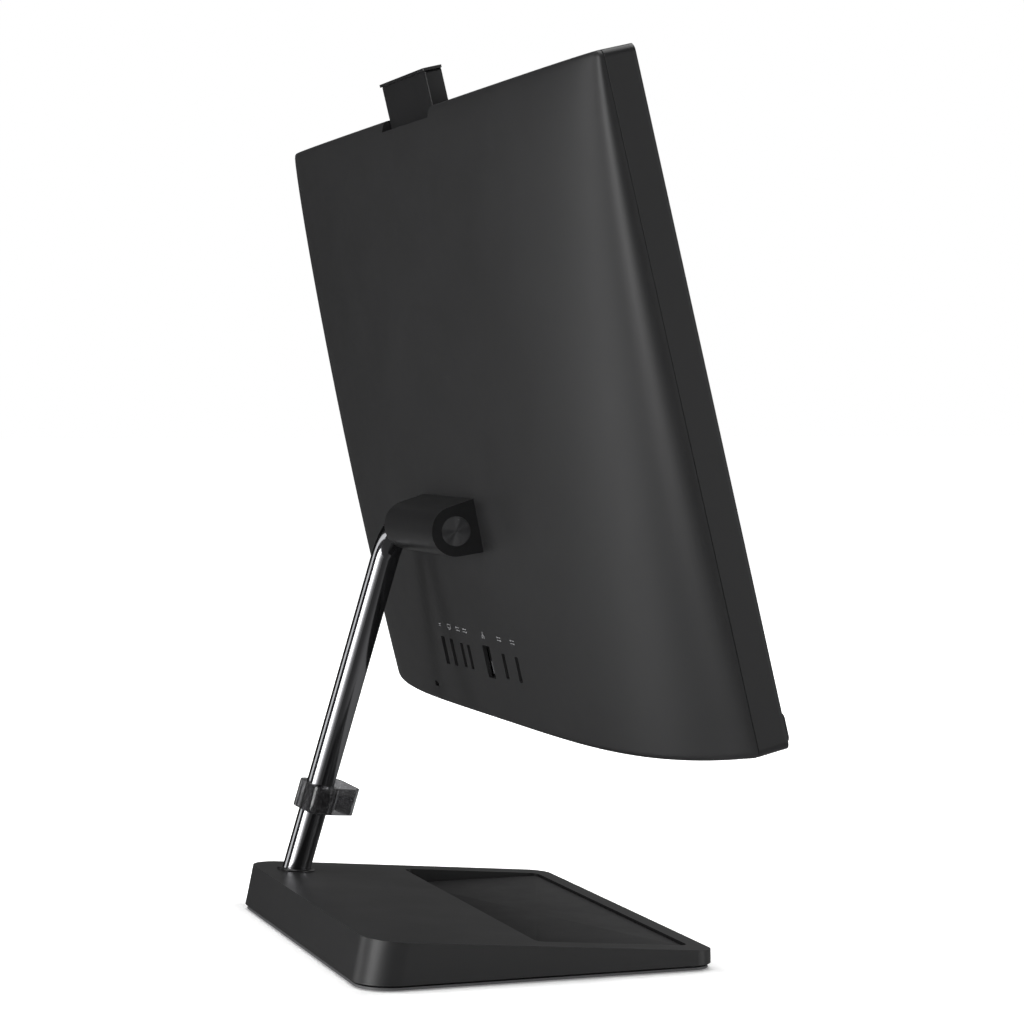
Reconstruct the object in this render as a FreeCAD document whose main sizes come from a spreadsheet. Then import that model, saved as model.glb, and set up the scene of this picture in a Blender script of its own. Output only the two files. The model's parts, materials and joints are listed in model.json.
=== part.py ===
import FreeCAD, Part
import math
import os
import Sketcher

V = FreeCAD.Vector
DOC = FreeCAD.newDocument("AllInOnePC")
SHEET = DOC.addObject("Spreadsheet::Sheet", "Sheet")

# All-in-one PC on a bent-tube stand. Millimetres and degrees.
# Row frame: +Z up, the screen faces -Y, +X is the viewer's right from the front,
# origin on the desk under the middle of the base.
# Panel frame: X as above, Y back from the front face, Z up from the lower edge of the
# display. It stands at (0, display_front_y, display_bottom_z), leaning back by tilt_angle.
SIZES = {
    # display envelope
    "display_width": 541.0,
    "display_height": 327.5,
    "band_depth": 15.5,
    "band_wall": 2.2,
    "band_corner": 4.0,
    "seam_chamfer": 0.5,
    "tilt_angle": 13.6,
    "display_front_y": -70.96,
    "display_bottom_z": 129.23,
    # front
    "bezel_thickness": 1.6,
    "bezel_side": 6.8,
    "bezel_top": 7.4,
    "chin_height": 22.4,
    "lcd_lap": 3.0,
    "lcd_thickness": 1.6,
    "backlight_thickness": 5.4,
    "backlight_inset": 1.5,
    "speaker_bar_length": 536.0,
    "speaker_bar_low": 2.6,
    "speaker_bar_high": 16.8,
    "speaker_bar_proud": 2.2,
    "speaker_bar_round": 1.0,
    # rear cover: the crown is how far the back bulges behind the band
    "cover_wall": 2.2,
    "crown_bottom": 38.3,
    "crown_top": 9.4,
    "crown_rise_power": 1.27,
    "plan_power_bottom": 4.5,
    "plan_power_top": 2.84,
    "shoulder_power_bottom": 1.375,
    "shoulder_power_top": 2.645,
    "vent_pitch": 13.0,
    "vent_width": 9.0,
    "exhaust_inner": 60.0,
    "exhaust_outer": 216.0,
    "exhaust_front": 17.0,
    "exhaust_depth": 3.2,
    "intake_inner": 24.0,
    "intake_outer": 192.0,
    "intake_front": 21.0,
    "intake_depth": 18.0,
    "lock_x": 98.7,
    "lock_z": 10.6,
    "lock_width": 7.0,
    "lock_height": 3.0,
    # chassis and boards, all inside the display
    "plate_thickness": 1.2,
    "plate_margin": 7.0,
    "flange_depth": 4.0,
    "board_front": 20.0,
    "board_thickness": 1.6,
    "board_half_width": 115.0,
    "board_low": 16.0,
    "board_high": 88.0,
    "pillar_radius": 3.0,
    "pillar_inset": 6.0,
    "chip_size": 37.0,
    "chip_height": 3.4,
    "chip_x": 88.0,
    "chip_z": 67.5,
    "spreader_thickness": 3.0,
    "spreader_margin": 6.0,
    "pipe_radius": 3.0,
    "pipe_bend": 16.0,
    "fan_x": 162.0,
    "fan_z": 200.0,
    "fan_size": 78.0,
    "fan_depth": 12.0,
    "fan_wall": 1.2,
    "fan_clearance": 2.0,
    "hub_radius": 13.0,
    "blade_count": 11,
    "blade_thickness": 1.0,
    "axle_radius": 1.5,
    "axle_clearance": 0.06,
    "fin_pitch": 2.6,
    "fin_thickness": 0.4,
    "fin_height": 16.0,
    "fin_gap": 4.0,
    "memory_length": 67.6,
    "memory_height": 30.0,
    "memory_x": -98.0,
    "memory_z": 50.0,
    "memory_step": 4.2,
    "drive_module_length": 80.0,
    "drive_module_height": 22.0,
    "drive_module_x": -24.0,
    "drive_module_z": 58.0,
    "card_length": 30.0,
    "card_height": 22.0,
    "card_x": -100.0,
    "card_z": 20.0,
    "card_thickness": 2.4,
    "disk_width": 69.9,
    "disk_length": 100.3,
    "disk_thickness": 7.0,
    "disk_x": -220.0,
    "disk_z": 70.0,
    "bracket_wall": 1.0,
    "speaker_box_length": 70.0,
    "speaker_box_height": 24.0,
    "speaker_box_depth": 15.0,
    "speaker_box_x": 150.0,
    "speaker_box_z": 10.0,
    "speaker_cone": 9.0,
    # sockets at the back, from the +X side to the -X side
    "socket_row_z": 33.3,
    "socket_face": 50.6,
    "socket_shell": 0.5,
    "slot_round": 0.8,
    "dc_x": 64.8,
    "dc_width": 6.6,
    "dc_height": 16.2,
    "dc_pin_radius": 0.9,
    "hdmi_x": 49.0,
    "hdmi_width": 5.6,
    "hdmi_height": 15.8,
    "usb_x_first": 31.0,
    "usb_x_second": 18.8,
    "usb_x_third": -40.9,
    "usb_x_fourth": -62.3,
    "usb_width": 5.0,
    "usb_height": 14.0,
    "lan_x": -13.2,
    "lan_width": 12.4,
    "lan_height": 18.0,
    "lan_jaw_height": 8.4,
    "lan_jaw_thickness": 1.6,
    "lan_jaw_gap": 0.3,
    "lan_pin_radius": 0.7,
    "lan_pin_clearance": 0.06,
    "tongue_setback": 1.6,
    # power button on the right-hand edge
    "button_radius": 2.6,
    "button_gap": 0.25,
    "button_y": 11.4,
    "button_z": 43.1,
    "button_flange": 1.0,
    "button_length": 4.0,
    "button_travel": 0.8,
    "switch_gap": 0.1,
    "switch_board_thickness": 1.2,
    # camera module, raised above the top edge
    "camera_half_width": 40.0,
    "camera_front": 13.9,
    "camera_depth": 9.3,
    "camera_rise": 18.2,
    "camera_height": 46.0,
    "camera_wall": 1.2,
    "camera_travel": 19.7,
    "lid_thickness": 1.5,
    "lid_overhang": 1.0,
    "lid_front_lap": 0.3,
    "notch_gap": 2.4,
    "notch_depth": 5.5,
    "guide_gap": 0.35,
    "guide_wall": 1.4,
    "lens_radius": 3.6,
    "lens_drop": 8.0,
    "lens_window_half": 26.0,
    "lens_window_height": 10.0,
    "lens_window_thickness": 0.8,
    # tilt hinge
    "hinge_half_width": 44.4,
    "axis_back": 64.2,
    "axis_up": 109.8,
    "barrel_radius": 13.3,
    "housing_top": 124.2,
    "housing_foot": 95.1,
    "cap_radius": 7.86,
    "cap_thickness": 2.0,
    "cap_recess": 0.4,
    "fit_gap": 0.05,
    "spindle_radius": 5.0,
    "spindle_clearance": 0.05,
    "sleeve_radius": 6.6,
    "sleeve_half_length": 24.0,
    "nut_across": 11.0,
    "nut_thickness": 5.0,
    "spring_radius": 6.4,
    "spring_pack": 4.0,
    "pocket_radius": 6.8,
    "mouth_gap": 0.35,
    "mouth_depth": 5.0,
    "hinge_bracket_half": 60.0,
    "hinge_bracket_low": 94.1,
    "hinge_bracket_high": 127.1,
    "hinge_bracket_back": 48.5,
    "hinge_bracket_wall": 2.0,
    "screw_radius": 1.5,
    "screw_head": 2.8,
    "housing_screw_x": 30.0,
    # pole
    "pole_radius": 7.86,
    "pole_wall": 2.05,
    "pole_bend": 24.0,
    "pole_foot_x": 101.4,
    "pole_foot_y": 66.6,
    "pole_lean_x": 32.0,
    "ferrule_radius": 10.6,
    "ferrule_height": 1.2,
    "ferrule_gap": 0.1,
    "socket_radius": 16.0,
    # base
    "base_half_width": 132.6,
    "base_depth": 187.4,
    "base_draft_side": 1.0,
    "base_draft_rear": 5.0,
    "base_front_height": 9.8,
    "base_rear_height": 25.3,
    "base_corner_rear": 21.0,
    "base_corner_front": 11.0,
    "base_wall": 2.2,
    "base_skirt_z": 2.9,
    "tray_half_width": 118.0,
    "tray_front": 9.7,
    "tray_length": 82.2,
    "tray_corner": 5.0,
    "tray_floor": 9.4,
    "tray_wall": 1.4,
    "mat_thickness": 0.8,
    "mat_gap": 0.5,
    "rib_pitch": 3.0,
    "rib_width": 1.0,
    "rib_depth": 0.3,
    "weight_thickness": 3.0,
    "weight_inset": 7.0,
    "bottom_plate_z": 0.4,
    "bottom_plate_thickness": 1.3,
    "bottom_plate_inset": 1.6,
    "foot_radius": 8.0,
    "foot_inset": 24.0,
    "foot_sink": 0.6,
    "post_radius": 4.0,
    "post_spread": 60.0,
    "screw_grip": 1.6,
    # cable clip on the pole
    "clip_up": 36.0,
    "clip_height": 15.5,
    "clip_half_width": 10.0,
    "clip_back": 9.3,
    "clip_front": 25.2,
    "clip_wall": 1.5,
    "clip_gap": 0.06,
    "clip_grip_end": 6.0,
    "clip_round_back": 5.0,
    "clip_round_front": 4.5,
    "clip_slit": 3.0,
    "clip_slit_at": 14.0,
    "clip_turn": -59.0,
}


def fill_sheet():
    for row, (alias, number) in enumerate(SIZES.items(), start=1):
        SHEET.set(f"A{row}", alias)
        SHEET.set(f"B{row}", str(number))
        SHEET.setAlias(f"B{row}", alias)
    DOC.recompute()


fill_sheet()


class Size:
    """A number together with the spreadsheet formula that gives it."""

    def __init__(self, value, text):
        self.value = float(value)
        self.text = text

    def _join(self, sign, first, second):
        first = first if isinstance(first, Size) else Size(first, repr(first))
        second = second if isinstance(second, Size) else Size(second, repr(second))
        answers = {
            "+": lambda a, b: a + b,
            "-": lambda a, b: a - b,
            "*": lambda a, b: a * b,
            "/": lambda a, b: a / b,
        }
        value = answers[sign](first.value, second.value)
        return Size(value, f"({first.text} {sign} {second.text})")

    def __add__(self, other):
        return self._join("+", self, other)

    def __radd__(self, other):
        return self._join("+", other, self)

    def __sub__(self, other):
        return self._join("-", self, other)

    def __rsub__(self, other):
        return self._join("-", other, self)

    def __mul__(self, other):
        return self._join("*", self, other)

    def __rmul__(self, other):
        return self._join("*", other, self)

    def __truediv__(self, other):
        return self._join("/", self, other)

    def __neg__(self):
        return self._join("*", -1, self)


class Sheet:
    """Gives each spreadsheet cell by its alias, as a Size."""

    def __getattr__(self, alias):
        return Size(SHEET.get(alias), f"Sheet.{alias}")


S = Sheet()
ZERO = Size(0, "0")


def sine(angle):
    return Size(math.sin(math.radians(angle.value)), f"sin({angle.text} * 1deg)")


def cosine(angle):
    return Size(math.cos(math.radians(angle.value)), f"cos({angle.text} * 1deg)")


def root(size):
    return Size(math.sqrt(size.value), f"sqrt({size.text})")


def number(size):
    return size.value if isinstance(size, Size) else float(size)


def bind(thing, prop, size):
    """Set a property, and tie it to the spreadsheet when it is a Size."""
    if isinstance(size, Size):
        thing.setExpression(prop, size.text)
    elif "." not in prop:
        setattr(thing, prop, size)


# ---------------------------------------------------------------- frames
def row_point(y, z):
    """Where a panel-frame point in the plane x = 0 lies in the row frame."""
    lean_sin, lean_cos = sine(S.tilt_angle), cosine(S.tilt_angle)
    return (
        S.display_front_y + y * lean_cos + z * lean_sin,
        S.display_bottom_z - y * lean_sin + z * lean_cos,
    )


HINGE_Y, HINGE_Z = row_point(S.axis_back, S.axis_up)


def base_top(y):
    """Height of the base's sloping top at a row-frame Y."""
    front = -S.base_depth / 2
    slope = (S.base_rear_height - S.base_front_height) / (S.base_depth - S.base_draft_rear)
    return S.base_front_height + (y - front) * slope


POLE_FOOT_Z = base_top(S.pole_foot_y)
POLE_RISE = HINGE_Z - POLE_FOOT_Z
POLE_REACH = S.pole_foot_y - HINGE_Y
POLE_LENGTH = root(POLE_RISE * POLE_RISE + POLE_REACH * POLE_REACH)
POLE_TOP_X = S.pole_foot_x - S.pole_lean_x

FINISHED = []


def finish(name, thing, frame="row"):
    """Name a sub-part and stand it in its frame."""
    if frame == "panel":
        thing.Label = f"{name}_in_panel"
        thing = group([thing])
        thing.Placement = FreeCAD.Placement(V(), FreeCAD.Rotation(V(1, 0, 0), -1))
        bind(thing, "Placement.Base.y", S.display_front_y)
        bind(thing, "Placement.Base.z", S.display_bottom_z)
        bind(thing, "Placement.Rotation.Angle", -S.tilt_angle)
    thing.Label = name
    FINISHED.append(thing)
    return thing


# ---------------------------------------------------------------- primitives
def box(x, y, z):
    """A block between two Sizes along each axis."""
    thing = DOC.addObject("Part::Box", "Block")
    for axis, length, (low, high) in zip("xyz", ("Length", "Width", "Height"), (x, y, z)):
        bind(thing, length, high - low)
        bind(thing, f"Placement.Base.{axis}", low)
    return thing


TURNS = {
    "X": FreeCAD.Rotation(V(0, 1, 0), 90),
    "Y": FreeCAD.Rotation(V(1, 0, 0), -90),
    "Z": FreeCAD.Rotation(),
}


def rod(along, start, length, radius, centre):
    """A cylinder along one axis; centre gives the other two coordinates in X, Y, Z order."""
    thing = DOC.addObject("Part::Cylinder", "Rod")
    thing.Placement = FreeCAD.Placement(V(), TURNS[along])
    bind(thing, "Radius", radius)
    bind(thing, "Height", length)
    others = [axis for axis in "XYZ" if axis != along]
    bind(thing, f"Placement.Base.{along.lower()}", start)
    for axis, place in zip(others, centre):
        bind(thing, f"Placement.Base.{axis.lower()}", place)
    return thing


def prism(sides, along, start, length, across, centre):
    """A regular prism, as a nut is; across is the distance over its flats."""
    thing = DOC.addObject("Part::Prism", "Prism")
    thing.Placement = FreeCAD.Placement(V(), TURNS[along])
    thing.Polygon = sides
    bind(thing, "Circumradius", across * (0.5 / math.cos(math.pi / sides)))
    bind(thing, "Height", length)
    others = [axis for axis in "XYZ" if axis != along]
    bind(thing, f"Placement.Base.{along.lower()}", start)
    for axis, place in zip(others, centre):
        bind(thing, f"Placement.Base.{axis.lower()}", place)
    return thing


def group(things):
    thing = DOC.addObject("Part::Compound", "Group")
    thing.Links = list(things)
    return thing


def join(things):
    thing = DOC.addObject("Part::MultiFuse", "Joined")
    thing.Shapes = list(things)
    thing.Refine = True
    return thing


def carve(base, tools):
    """Cut the tools out of the base, and check that they took something away."""
    thing = DOC.addObject("Part::Cut", "Carved")
    thing.Base = base
    thing.Tool = tools[0] if len(tools) == 1 else group(tools)
    DOC.recompute()
    if not thing.Shape.Volume < base.Shape.Volume - 1e-6:
        raise RuntimeError(f"a cut took nothing away from {base.Label}")
    return thing


def steps(first, last, pitch):
    """Whole steps of a pitch between two places."""
    return int((number(last) - number(first)) / number(pitch)) + 1


# ---------------------------------------------------------------- sketched bodies
ORIGIN_POINT = (-1, 1)


def new_body(name):
    return DOC.addObject("PartDesign::Body", name)


def new_sketch(body, plane, offset=None):
    """A sketch on one of the body's own planes, moved along the plane's normal by offset."""
    flat = body.newObject("Sketcher::SketchObject", "Sketch")
    support = [item for item in body.Origin.OriginFeatures if item.Role == plane][0]
    flat.AttachmentSupport = [(support, "")]
    flat.MapMode = "FlatFace"
    if offset is not None:
        bind(flat, "AttachmentOffset.Base.z", offset)
    return flat


def pin_point(flat, place, across, up):
    """Hold one sketch point at a distance across and up from the sketch origin."""
    for kind, size in (("DistanceX", across), ("DistanceY", up)):
        index = flat.addConstraint(Sketcher.Constraint(kind, *ORIGIN_POINT, *place, number(size)))
        if isinstance(size, Size):
            flat.setExpression(f"Constraints[{index}]", size.text)


def draw_polygon(flat, points):
    """A closed outline of straight lines through (across, up) points."""
    count = len(points)
    first = flat.GeometryCount
    corners = [V(number(a), number(b), 0) for a, b in points]
    for i in range(count):
        flat.addGeometry(Part.LineSegment(corners[i], corners[(i + 1) % count]), False)
    for i in range(count):
        here, after = first + i, first + (i + 1) % count
        flat.addConstraint(Sketcher.Constraint("Coincident", here, 2, after, 1))
        pin_point(flat, (here, 1), *points[i])


def draw_rectangle(flat, across, up):
    draw_polygon(
        flat,
        [(across[0], up[0]), (across[1], up[0]), (across[1], up[1]), (across[0], up[1])],
    )


def draw_rounded(flat, across, up, high_radius, low_radius=None):
    """A rectangle with round corners: four lines and four arcs, tangent all round."""
    low_radius = low_radius or high_radius
    radii = [high_radius, high_radius, low_radius, low_radius]
    centres = [
        (across[1] - high_radius, up[1] - high_radius),
        (across[0] + high_radius, up[1] - high_radius),
        (across[0] + low_radius, up[0] + low_radius),
        (across[1] - low_radius, up[0] + low_radius),
    ]
    arcs = []
    for k, (a, b) in enumerate(centres):
        circle = Part.Circle(V(a.value, b.value, 0), V(0, 0, 1), radii[k].value)
        start = k * math.pi / 2
        arcs.append(flat.addGeometry(Part.ArcOfCircle(circle, start, start + math.pi / 2), False))
    for k in range(4):
        after = (k + 1) % 4
        start = V(centres[k][0].value, centres[k][1].value, 0)
        stop = V(centres[after][0].value, centres[after][1].value, 0)
        turn = (k + 1) * math.pi / 2
        out = V(math.cos(turn), math.sin(turn), 0)
        line = Part.LineSegment(start + out * radii[k].value, stop + out * radii[after].value)
        side = flat.addGeometry(line, False)
        flat.addConstraint(Sketcher.Constraint("Tangent", arcs[k], 2, side, 1))
        flat.addConstraint(Sketcher.Constraint("Tangent", side, 2, arcs[after], 1))
        pin_point(flat, (arcs[k], 3), *centres[k])
        rule = flat.addConstraint(Sketcher.Constraint("Radius", arcs[k], radii[k].value))
        bind_constraint(flat, rule, radii[k])


def draw_circle(flat, centre, radius):
    index = flat.addGeometry(
        Part.Circle(V(number(centre[0]), number(centre[1]), 0), V(0, 0, 1), number(radius)), False
    )
    pin_point(flat, (index, 3), *centre)
    rule = flat.addConstraint(Sketcher.Constraint("Radius", index, number(radius)))
    bind_constraint(flat, rule, radius)


def bind_constraint(flat, index, size):
    if isinstance(size, Size):
        flat.setExpression(f"Constraints[{index}]", size.text)


def extrude(body, flat, length, reverse=False):
    pad = body.newObject("PartDesign::Pad", "Pad")
    pad.Profile = flat
    pad.Reversed = reverse
    bind(pad, "Length", length)
    flat.Visibility = False
    DOC.recompute()
    return pad


def sink(body, flat, length=None, reverse=False):
    """A pocket that is checked to have removed material."""
    before = body.Shape.Volume
    pocket = body.newObject("PartDesign::Pocket", "Pocket")
    pocket.Profile = flat
    pocket.Reversed = reverse
    if length is None:
        pocket.Type = "ThroughAll"
    else:
        bind(pocket, "Length", length)
    DOC.recompute()
    if not body.Shape.Volume < before - 1e-6:
        raise RuntimeError(f"a pocket took nothing away from {body.Label}")
    return pocket


def draw_route(flat, points, bend):
    """A line through the points with each corner between them rounded to the bend radius."""
    places = [V(a.value, b.value, 0) for a, b in points]
    radius = bend.value
    starts, ends, arcs = [places[0]], [], []
    for before, corner, after in zip(places, places[1:], places[2:]):
        come, go = (before - corner).normalize(), (after - corner).normalize()
        half = come.getAngle(go) / 2
        reach = radius / math.tan(half)
        centre = corner + (come + go).normalize() * (radius / math.sin(half))
        ends.append(corner + come * reach)
        starts.append(corner + go * reach)
        arcs.append((centre, ends[-1], starts[-1]))
    ends.append(places[-1])
    lines = [flat.addGeometry(Part.LineSegment(a, b), False) for a, b in zip(starts, ends)]
    for k, (centre, first, last) in enumerate(arcs):
        anticlockwise = (first - centre).cross(last - centre).z > 0
        low, high = (first, last) if anticlockwise else (last, first)
        angles = [math.atan2(p.y - centre.y, p.x - centre.x) for p in (low, high)]
        if angles[1] < angles[0]:
            angles[1] += 2 * math.pi
        circle = Part.Circle(centre, V(0, 0, 1), radius)
        knee = flat.addGeometry(Part.ArcOfCircle(circle, *angles), False)
        into, out = (1, 2) if anticlockwise else (2, 1)
        flat.addConstraint(Sketcher.Constraint("Tangent", lines[k], 2, knee, into))
        flat.addConstraint(Sketcher.Constraint("Tangent", knee, out, lines[k + 1], 1))
        bind_constraint(flat, flat.addConstraint(Sketcher.Constraint("Radius", knee, radius)), bend)
        mark = flat.addGeometry(Part.Point(places[k + 1]), True)
        pin_point(flat, (mark, 1), *points[k + 1])
        for line in (lines[k], lines[k + 1]):
            flat.addConstraint(Sketcher.Constraint("PointOnObject", mark, 1, line))
    pin_point(flat, (lines[0], 1), *points[0])
    pin_point(flat, (lines[-1], 2), *points[-1])


def sweep(body, points, y_line, bend, radius, kind):
    """A round bar or a round hole along a bent route that starts out along X."""
    route = new_sketch(body, "XZ_Plane", -y_line)
    draw_route(route, points, bend)
    ring = new_sketch(body, "YZ_Plane", points[0][0])
    draw_circle(ring, (y_line, points[0][1]), radius)
    pipe = body.newObject(f"PartDesign::{kind}Pipe", "Sweep")
    pipe.Profile = ring
    pipe.Spine = (route, [])
    DOC.recompute()
    return pipe


def edges_where(feature, test):
    names = []
    for i, edge in enumerate(feature.Shape.Edges, start=1):
        if test(edge):
            names.append(f"Edge{i}")
    return names


def is_along(direction):
    """A test for straight edges along a direction."""

    def test(edge):
        if len(edge.Vertexes) != 2 or not isinstance(edge.Curve, Part.Line):
            return False
        run = edge.Vertexes[1].Point - edge.Vertexes[0].Point
        return run.cross(direction).Length < 1e-6 * run.Length
    return test


def round_edges(body, feature, radius, test):
    fillet = body.newObject("PartDesign::Fillet", "Fillet")
    fillet.Base = (feature, edges_where(feature, test))
    bind(fillet, "Radius", radius)
    DOC.recompute()
    return fillet


def bevel_edges(body, feature, size, test):
    bevel = body.newObject("PartDesign::Chamfer", "Chamfer")
    bevel.Base = (feature, edges_where(feature, test))
    bind(bevel, "Size", size)
    DOC.recompute()
    return bevel


def plate(name, x, y, z, radius=None):
    """A slab whose thickness is along Y, with its four edges along Y rounded."""
    body = new_body(name)
    flat = new_sketch(body, "XZ_Plane", -y[0])
    draw_rectangle(flat, x, z)
    pad = extrude(body, flat, y[1] - y[0], reverse=True)
    if radius is not None:
        round_edges(body, pad, radius, is_along(V(0, 1, 0)))
    return body


def hole_through(body, y_start, draw, depth=None):
    """A pocket along +Y from the plane y = y_start, in the outline that draw makes."""
    flat = new_sketch(body, "XZ_Plane", -y_start)
    draw(flat)
    return sink(body, flat, depth)


# ---------------------------------------------------------------- display: front and band
HALF_WIDTH = S.display_width / 2
INNER_HALF = HALF_WIDTH - S.band_wall
NOTCH_HALF = S.camera_half_width + S.notch_gap
NOTCH_FLOOR = S.display_height - S.notch_depth
CAMERA_TOP = S.display_height + S.camera_rise
CAMERA_LOW = CAMERA_TOP - S.camera_height
CAMERA_BACK = S.camera_front + S.camera_depth


def make_middle_frame():
    body = plate(
        "middle_frame",
        (-HALF_WIDTH, HALF_WIDTH),
        (S.bezel_thickness, S.band_depth),
        (ZERO, S.display_height),
        S.band_corner,
    )
    rear = S.band_depth
    bevel_edges(
        body,
        body.Tip,
        S.seam_chamfer,
        lambda edge: all(abs(v.Point.y - rear.value) < 1e-6 for v in edge.Vertexes),
    )
    hole_through(
        body,
        ZERO,
        lambda flat: draw_rectangle(
            flat, (-INNER_HALF, INNER_HALF), (S.band_wall, S.display_height - S.band_wall)
        ),
    )
    hole_through(
        body,
        S.camera_front - S.lid_front_lap - S.guide_gap,
        lambda flat: draw_rectangle(
            flat,
            (-NOTCH_HALF, NOTCH_HALF),
            (S.display_height - S.band_wall - 1, S.display_height + 1),
        ),
    )
    side_hole = new_sketch(body, "YZ_Plane", HALF_WIDTH + 1)
    draw_circle(side_hole, (S.button_y, S.button_z), S.button_radius + S.button_gap)
    sink(body, side_hole, S.band_wall + 2)
    finish("middle_frame", body, "panel")


WINDOW_HALF = HALF_WIDTH - S.bezel_side
WINDOW_TOP = S.display_height - S.bezel_top


def make_front_bezel():
    body = plate(
        "front_bezel",
        (-HALF_WIDTH, HALF_WIDTH),
        (ZERO, S.bezel_thickness),
        (ZERO, S.display_height),
        S.band_corner,
    )
    hole_through(
        body,
        -S.bezel_thickness,
        lambda flat: draw_rectangle(
            flat, (-WINDOW_HALF, WINDOW_HALF), (S.chin_height, WINDOW_TOP)
        ),
    )
    finish("front_bezel", body, "panel")


LCD_HALF = WINDOW_HALF + S.lcd_lap
LCD_LOW = S.chin_height - S.lcd_lap
LCD_TOP = WINDOW_TOP + S.lcd_lap
LCD_BACK = S.bezel_thickness + S.lcd_thickness


def make_screen():
    glass = plate(
        "lcd_panel", (-LCD_HALF, LCD_HALF), (S.bezel_thickness, LCD_BACK), (LCD_LOW, LCD_TOP), 1.0
    )
    finish("lcd_panel", glass, "panel")
    inset = S.backlight_inset
    light = plate(
        "backlight_unit",
        (-LCD_HALF + inset, LCD_HALF - inset),
        (LCD_BACK, LCD_BACK + S.backlight_thickness),
        (LCD_LOW + inset, LCD_TOP - inset),
        2.0,
    )
    finish("backlight_unit", light, "panel")


def make_speaker_bar():
    half = S.speaker_bar_length / 2
    body = plate(
        "speaker_bar",
        (-half, half),
        (-S.speaker_bar_proud, ZERO),
        (S.speaker_bar_low, S.speaker_bar_high),
        3.0,
    )
    front = -S.speaker_bar_proud.value
    round_edges(
        body,
        body.Tip,
        S.speaker_bar_round,
        lambda edge: all(abs(v.Point.y - front) < 1e-6 for v in edge.Vertexes),
    )
    finish("speaker_bar", body, "panel")


# ---------------------------------------------------------------- display: rear cover
CROWN_SECTIONS = 9
SPLINE_STEPS = 12


def crown_section(rise, inset, seam):
    """Outline of the rear cover at a share of its height, as a closed wire.

    The back is a superellipse |x / a|^n + (y / b)^p = 1 standing on the seam; n and p
    change evenly from the lower edge to the upper one, b falls off as a flat ellipse.
    """
    angle = math.asin(rise)
    shift = S.plan_power_top.value - S.plan_power_bottom.value
    plan_power = S.plan_power_bottom.value + shift * rise
    shift = S.shoulder_power_top.value - S.shoulder_power_bottom.value
    shoulder_power = S.shoulder_power_bottom.value + shift * rise
    crown = S.crown_top.value + (S.crown_bottom.value - S.crown_top.value) * (
        math.cos(angle) ** S.crown_rise_power.value
    )
    a = HALF_WIDTH.value - inset
    b = crown - inset
    height = inset + rise * (S.display_height.value - 2 * inset)
    base = S.band_depth.value
    points = []
    for step in range(-SPLINE_STEPS, SPLINE_STEPS + 1):
        turn = abs(step) / SPLINE_STEPS * math.pi / 2
        across = a * math.sin(turn) ** (2 / plan_power)
        back = b * max(math.cos(turn), 0.0) ** (2 / shoulder_power) if abs(step) < SPLINE_STEPS else 0
        points.append(V(math.copysign(across, step), base + back, height))
    curve = Part.BSplineCurve()
    curve.interpolate(points)
    left, right = V(-a, seam, height), V(a, seam, height)
    edges = [curve.toShape()]
    if seam < base:
        edges.append(Part.makeLine(points[-1], right))
        edges.append(Part.makeLine(right, left))
        edges.append(Part.makeLine(left, points[0]))
    else:
        edges.append(Part.makeLine(points[-1], points[0]))
    return Part.Wire(edges)


def crown_solid(inset, seam):
    """The crowned back as a loft through its sections, from the lower edge to the upper one."""
    wires = []
    for k in range(CROWN_SECTIONS):
        rise = math.sin(k / (CROWN_SECTIONS - 1) * math.pi / 2)
        wires.append(crown_section(min(rise, 1.0), inset, seam))
    thing = DOC.addObject("Part::Feature", "Crown")
    thing.Shape = Part.makeLoft(wires, True, False)
    return thing


SOCKETS = [
    (S.dc_x, S.dc_width, S.dc_height),
    (S.hdmi_x, S.hdmi_width, S.hdmi_height),
    (S.usb_x_first, S.usb_width, S.usb_height),
    (S.usb_x_second, S.usb_width, S.usb_height),
    (S.usb_x_third, S.usb_width, S.usb_height),
    (S.usb_x_fourth, S.usb_width, S.usb_height),
    (S.lan_x, S.lan_width, S.lan_height),
]
COVER_BACK = S.band_depth + S.crown_bottom


def slot_block(x, width, height, y):
    return box(
        (x - width / 2, x + width / 2),
        y,
        (S.socket_row_z - height / 2, S.socket_row_z + height / 2),
    )


def vent_row(inner, outer, y, z):
    """Slots on both sides of the middle, from inner to outer."""
    cutters = []
    for k in range(steps(inner, outer, S.vent_pitch)):
        place = inner + S.vent_pitch * k
        for start in (place, -place - S.vent_width):
            cutters.append(box((start, start + S.vent_width), y, z))
    return cutters


def notch_block(grow, low):
    """The recess in the cover's top that the camera module rises from."""
    half = NOTCH_HALF + grow
    return box((-half, half), (S.band_depth - 5, COVER_BACK), (low, S.display_height + 1))


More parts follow.
